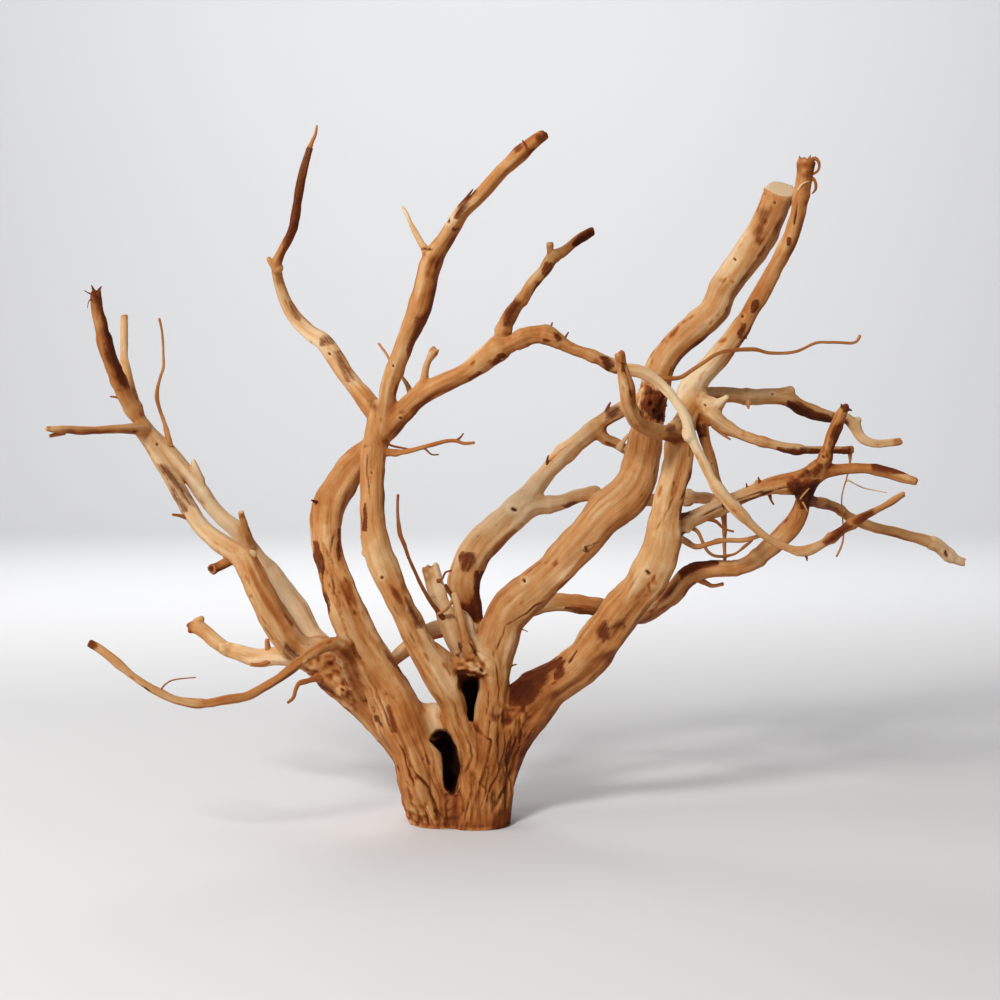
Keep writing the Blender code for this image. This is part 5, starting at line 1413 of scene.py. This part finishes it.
# Relief in metres along the skin's outward direction: lumps, grooves along the grain, and fine ridges that
# waver on the stump, where the valleys between them are dark
RIDGE_SIZE, RIDGE_HEIGHT, RIDGE_TOP, VALLEY = (0.11, 0.0036, 0.0036), 0.0010, 0.35, 0.14
RIDGE_WAVER, RIDGE_WAVER_SIZE = 0.0022, 0.016
FINE_CRACK_SIZE, FINE_CRACK_DEEP = (0.05, 0.005, 0.005), 0.0004
HACKED_SIZE, HACKED_HEIGHT = (0.0022, 0.0022, 0.006), 0.0007  # the stump's lowest edge
SAW_CUT_SIZE, SAW_CUT_HEIGHT = (0.02, 0.02, 0.0016), 0.00015
SPECK_DEEP, SPECK_TONE = 0.0003, 0.26
slight = np.sqrt(full)
for height, share, size, seed in ((0.0009, full, 0.017, 31), (0.0006, slight, 0.0065, 32)):
    relief += height * share * wander(places, size, seed)
for height, length, width, seed in ((0.0007, 0.060, 0.0065, 33), (0.0003, 0.022, 0.0022, 36)):
    relief += height * full * along_limbs((length, width, width), seed)
warp = np.zeros((len(places), 3))
warp[:, 1] = RIDGE_WAVER * wander(places, RIDGE_WAVER_SIZE, 51)
warp[:, 2] = RIDGE_WAVER * wander(places, RIDGE_WAVER_SIZE, 52)
waver = along_limbs(RIDGE_SIZE, 34, warp)
valley = 1 - smooth(np.abs(waver), 0.0, VALLEY)
some = smooth(wander(places, 0.03, 37), -0.25, 0.25)
furrowed = np.clip(low_down * (0.45 + 0.55 * some) + 0.06 * some, 0, 1)
relief += RIDGE_HEIGHT * furrowed * full * (np.minimum(np.abs(waver), RIDGE_TOP) - RIDGE_TOP) / RIDGE_TOP
fine_crack = 1 - smooth(np.abs(along_limbs(FINE_CRACK_SIZE, 35)), 0.0, 0.035)
fine_crack *= smooth(wander(places, 0.022, 38), 0.05, 0.35)
relief -= FINE_CRACK_DEEP * fine_crack * full
base = 1 - smooth(places[:, 2] + 0.006 * wander(places, 0.006, 53), 0.0, 0.016)
hacked = wander(places, HACKED_SIZE, 54)
cuts = wander(places, SAW_CUT_SIZE, 55)
relief += base * (HACKED_HEIGHT * hacked + SAW_CUT_HEIGHT * cuts)
tone -= 0.08 * low_down + base * (0.08 + 0.22 * np.maximum(hacked, 0) + 0.05 * cuts)
specks = 0.8 * wander(places, 0.004, 71) + 0.9 * along_limbs((0.012, 0.0018, 0.0018), 72)
specks *= 0.8 + 0.5 * wander(places, 0.03, 73)
specks = smooth(specks, 0.60, 1.05)
relief -= SPECK_DEEP * specks * slight
tone -= SPECK_TONE * specks
for limb in limbs:
    if "end" in limb:
        end, radius = limb["end"]
        near = 1 - smooth(np.linalg.norm(places - end, axis=1) / radius, 0.9, 2.4)
        tone -= 0.28 * near * (0.6 + wander(places, 0.003, 56))

# The marks, with edges that follow the wood's own unevenness
spots = np.stack(seen(places), 1)
crack = np.maximum(0.75 * valley * furrowed, 0.55 * fine_crack)
bark = np.zeros(len(places))
rot = np.zeros(len(places))
ragged = wander(places, 0.0035, 41)
streaky = along_limbs((0.014, 0.0025, 0.0025), 42)
speckled = wander(places, 0.0011, 45)
scabs = wander(places, 0.0024, 43) + 0.6 * wander(places, 0.005, 44)
for kind, limb_names, sizes, line in marks:
    deep = sizes[-1]
    half_width = sizes[0] if len(sizes) == 2 else 0
    carried = np.isin(names, limb_names)[nearest[0]] & (facing > -0.05)
    box = (spots > line.min(0) - 3 * half_width).all(1) & (spots < line.max(0) + 3 * half_width).all(1)
    at = np.nonzero(carried & box)[0]
    shift = 0.9 * np.stack([ragged[at], -ragged[at]], 1)
    if kind in ("patch", "rough"):
        soft = np.clip(0.32 * (line.max(0) - line.min(0)).min(), 1.3, 5.0)
        away = outline_distance(spots[at] + shift, line) + 2.2 * streaky[at] + 0.8 * speckled[at]
        inside = 1 - smooth(away - 0.8, -soft, 0.7 * soft)
        if kind == "patch":
            bark[at] = np.maximum(bark[at], deep * inside)
        else:
            relief[at] += deep * inside * (scabs[at] - 0.3)
            tone[at] += 0.30 * inside * np.clip(scabs[at], -0.6, 0.3)
            crack[at] = np.maximum(crack[at], 0.5 * inside * smooth(-scabs[at], 0.35, 0.8))
        continue
    gap, progress = line_distance(spots[at] + shift, line)
    ends = smooth(progress, 0, 0.12) * smooth(1 - progress, 0, 0.12)
    if kind == "crack":
        width = half_width * (0.75 + 0.6 * streaky[at])
        split = np.exp(-((gap / width) ** 2)) * (0.35 + 0.65 * ends)
        relief[at] -= deep * split
        relief[at] += 0.3 * deep * np.exp(-(((gap - 2.4 * width) / width) ** 2)) * ends
        crack[at] = np.maximum(crack[at], split * (0.7 + 0.6 * streaky[at]))
    elif kind == "knot":
        ring = np.exp(-(((gap - half_width) / (0.6 * half_width)) ** 2))
        pit = np.exp(-((gap / (0.55 * half_width)) ** 2))
        relief[at] += deep * (0.6 * ring - 1.5 * pit)
        tone[at] += 0.05 * ring
        crack[at] = np.maximum(crack[at], 1.2 * pit)
    elif kind == "stain":
        tone[at] -= deep * (1 - smooth(gap / half_width + 1.3 * streaky[at], 0.1, 1.5))
depth = places[:, 1] / (STEP * DEPTH_STRETCH)
for outline, front, back in pockets:
    walls = (outline_distance(spots, outline) < 2.0) & (depth - front > 0) & (depth < back + 3)
    walls &= np.isin(names, STUMP_LIMBS.split())[nearest[0]]
    rot = np.where(walls, np.maximum(rot, smooth(-gaps[0], 0.0015, 0.006)), rot)
relief *= (1 - sawn) * (1 - rot)
relief[on_foot] *= 0.3
relief += 0.0002 * bark * (0.5 + ragged)
places += outward * relief[:, None]
places[:, 2] = np.maximum(places[:, 2], 0)
outward = point_normals(places, quads)

# Where the wood curves inward it is darkened as painted shade, and where it stands out it is paler from
# sanding.
# Its sides that face down and to the right, away from the key lamp, are darkened in patches as painted shade,
# and the rest is scraped pale in places, only where that painted shade is absent.
EASING_ROUNDS, PROUD_TONE, DARKEST_HOLLOW_SHADE, PALEST_EDGE = 5, 2.4, -0.40, 0.13
around = np.zeros_like(places)
count = np.zeros(len(places))
for corner in range(4):
    for step in (1, 3):
        other = quads[:, (corner + step) % 4]
        count += np.bincount(quads[:, corner], minlength=len(places))
        for axis in range(3):
            around[:, axis] += np.bincount(quads[:, corner], places[other, axis], len(places))
proud = ((places - around / count[:, None]) * outward).sum(1) / FINE
for _ in range(EASING_ROUNDS):
    total = sum(np.bincount(quads[:, c], proud[quads].sum(1), len(places)) for c in range(4))
    proud = total / (count * 2)
# Painted shade darkens the hollows and creases; the proud edges are paler from sanding
tone += np.clip(PROUD_TONE * proud, DARKEST_HOLLOW_SHADE, PALEST_EDGE)
# Painted shade on the sides that face down and to the right, away from the key lamp, stronger in patches
painted_shade_side = smooth(outward @ (0.60, 0.15, -0.78), 0.05, 0.85)
shade_patches = smooth(wander(places, 0.014, 61) + 0.7 * along_limbs((0.03, 0.005, 0.005), 62), -0.05, 0.55)
tone -= painted_shade_side * (0.12 + 0.30 * shade_patches)
# Pale scraped patches, left off the sides under painted shade, so they are partly painted light on the sides
# facing the lamp
scraped = smooth(wander(places, 0.02, 63) + 0.8 * along_limbs((0.04, 0.004, 0.004), 64), 0.15, 0.7)
tone += 0.16 * scraped * (1 - painted_shade_side)

# The pieces, one for each group of limbs
groups = sorted({limb["group"] for limb in limbs})
group_of = np.array([groups.index(limb["group"]) for limb in limbs])[pair[0]]
for _ in range(3):  # a stray bit of one stretch inside another joins what is around it
    votes = [np.bincount(quads.ravel(), np.repeat(group_of == n, 4), len(places)) for n in range(len(groups))]
    group_of = np.array(votes)[:, quads].sum(2).argmax(0)
for number, group in enumerate(groups):
    faces = np.nonzero(group_of == number)[0]
    used, corners = np.unique(quads[faces], return_inverse=True)
    corners = corners.reshape(-1, 4)
    mesh = bpy.data.meshes.new("driftwood_" + group)
    mesh.vertices.add(len(used))
    mesh.vertices.foreach_set("co", places[used].astype(np.float32).ravel())
    mesh.loops.add(corners.size)
    mesh.loops.foreach_set("vertex_index", corners.astype(np.int32).ravel())
    mesh.polygons.add(len(corners))
    mesh.polygons.foreach_set("loop_start", np.arange(0, corners.size, 4, dtype=np.int32))
    mesh.update(calc_edges=True)
    for name, values in (("grain", corner_grain[0]), ("grain_other", corner_grain[1])):
        layer = mesh.attributes.new(name, "FLOAT_VECTOR", "CORNER")
        layer.data.foreach_set("vector", values[faces].astype(np.float32).ravel())
    layer = mesh.attributes.new("share", "FLOAT", "CORNER")
    layer.data.foreach_set("value", corner_share[faces].astype(np.float32).ravel())
    for name, values in (("tone", tone), ("crack", crack), ("bark", bark), ("sawn", sawn), ("rot", rot)):
        layer = mesh.attributes.new(name, "FLOAT", "POINT")
        layer.data.foreach_set("value", values[used].astype(np.float32))
    mesh.shade_smooth()
    mesh.normals_split_custom_set_from_vertices(outward[used].astype(np.float32).tolist())
    wooden_piece("driftwood_" + group, mesh)


# The floor and the backdrop
# A sheet of pale studio paper that lies flat under the wood and curves up far behind it.
FLOOR_NEAR, FLOOR_FAR, FLOOR_WIDE = -1.6, 2.2, 3.0
SWEEP_RADIUS, SWEEP_TOP, SWEEP_PARTS = 0.9, 3.2, 24
PAPER_COLOUR = (0.71, 0.71, 0.72, 1.0)
profile = [(FLOOR_NEAR, 0.0)]
for i in range(SWEEP_PARTS + 1):
    angle = math.pi / 2 * i / SWEEP_PARTS
    profile.append((FLOOR_FAR + SWEEP_RADIUS * math.sin(angle), SWEEP_RADIUS * (1 - math.cos(angle))))
profile.append((FLOOR_FAR + SWEEP_RADIUS, SWEEP_TOP))
corners = [(x, y, z) for y, z in profile for x in (-FLOOR_WIDE, FLOOR_WIDE)]
sheet_faces = [(2 * i, 2 * i + 1, 2 * i + 3, 2 * i + 2) for i in range(len(profile) - 1)]
sheet = bpy.data.meshes.new("studio_paper")
sheet.from_pydata(corners, [], sheet_faces)
sheet.shade_smooth()
paper = bpy.data.objects.new("studio_paper", sheet)
bpy.context.scene.collection.objects.link(paper)
matt_paper = Shading("Matt paper")
matt_paper.shader.inputs["Base Color"].default_value = PAPER_COLOUR
matt_paper.shader.inputs["Roughness"].default_value = 0.9
sheet.materials.append(matt_paper.material)


# The light and the view
# Soft studio light, strongest from the upper left in front, and the view of the photograph.
def lamp(name, place, target, width, height, power, colour=(1.0, 1.0, 1.0)):
    """A rectangular lamp of this size in metres and this power in watts, turned to its target."""
    light = bpy.data.lights.new(name, "AREA")
    light.shape = "RECTANGLE"
    light.size, light.size_y = width, height
    light.energy = power
    light.color = colour
    holder = bpy.data.objects.new(name, light)
    holder.location = place
    holder.rotation_euler = (Vector(target) - Vector(place)).to_track_quat("-Z", "Y").to_euler()
    bpy.context.scene.collection.objects.link(holder)


WOOD_MIDDLE = (0.03, 0.0, 0.2)
lamp("key", (-0.72, -1.48, 1.40), WOOD_MIDDLE, 0.40, 0.40, 30, (1.0, 0.98, 0.95))
lamp("fill", (-1.6, -0.2, 0.9), WOOD_MIDDLE, 0.9, 0.9, 9)
lamp("back", (-0.5, 1.2, 1.3), WOOD_MIDDLE, 0.9, 0.6, 8)
lamp("backdrop", (0.0, 0.9, 1.6), (0, 3.1, 0.9), 2.6, 0.6, 40, (0.96, 0.98, 1.0))
ROOM_COLOUR, ROOM_LIGHT = (1.0, 0.98, 0.96, 1.0), 0.285
world = bpy.data.worlds.new("Studio")
world.use_nodes = True
world.node_tree.nodes["Background"].inputs["Color"].default_value = ROOM_COLOUR
world.node_tree.nodes["Background"].inputs["Strength"].default_value = ROOM_LIGHT
bpy.context.scene.world = world
bpy.context.scene.view_settings.view_transform = "Standard"

SENSOR_WIDTH = 36
view = bpy.data.cameras.new("view")
view.sensor_width = SENSOR_WIDTH
view.lens = SENSOR_WIDTH * FOCAL_STEPS / PICTURE_STEPS
view.clip_end = 20
eye = bpy.data.objects.new("view", view)
eye.location = EYE
eye.rotation_euler = (math.pi / 2 - LOOK_DOWN, 0, 0)
bpy.context.scene.collection.objects.link(eye)
bpy.context.scene.camera = eye
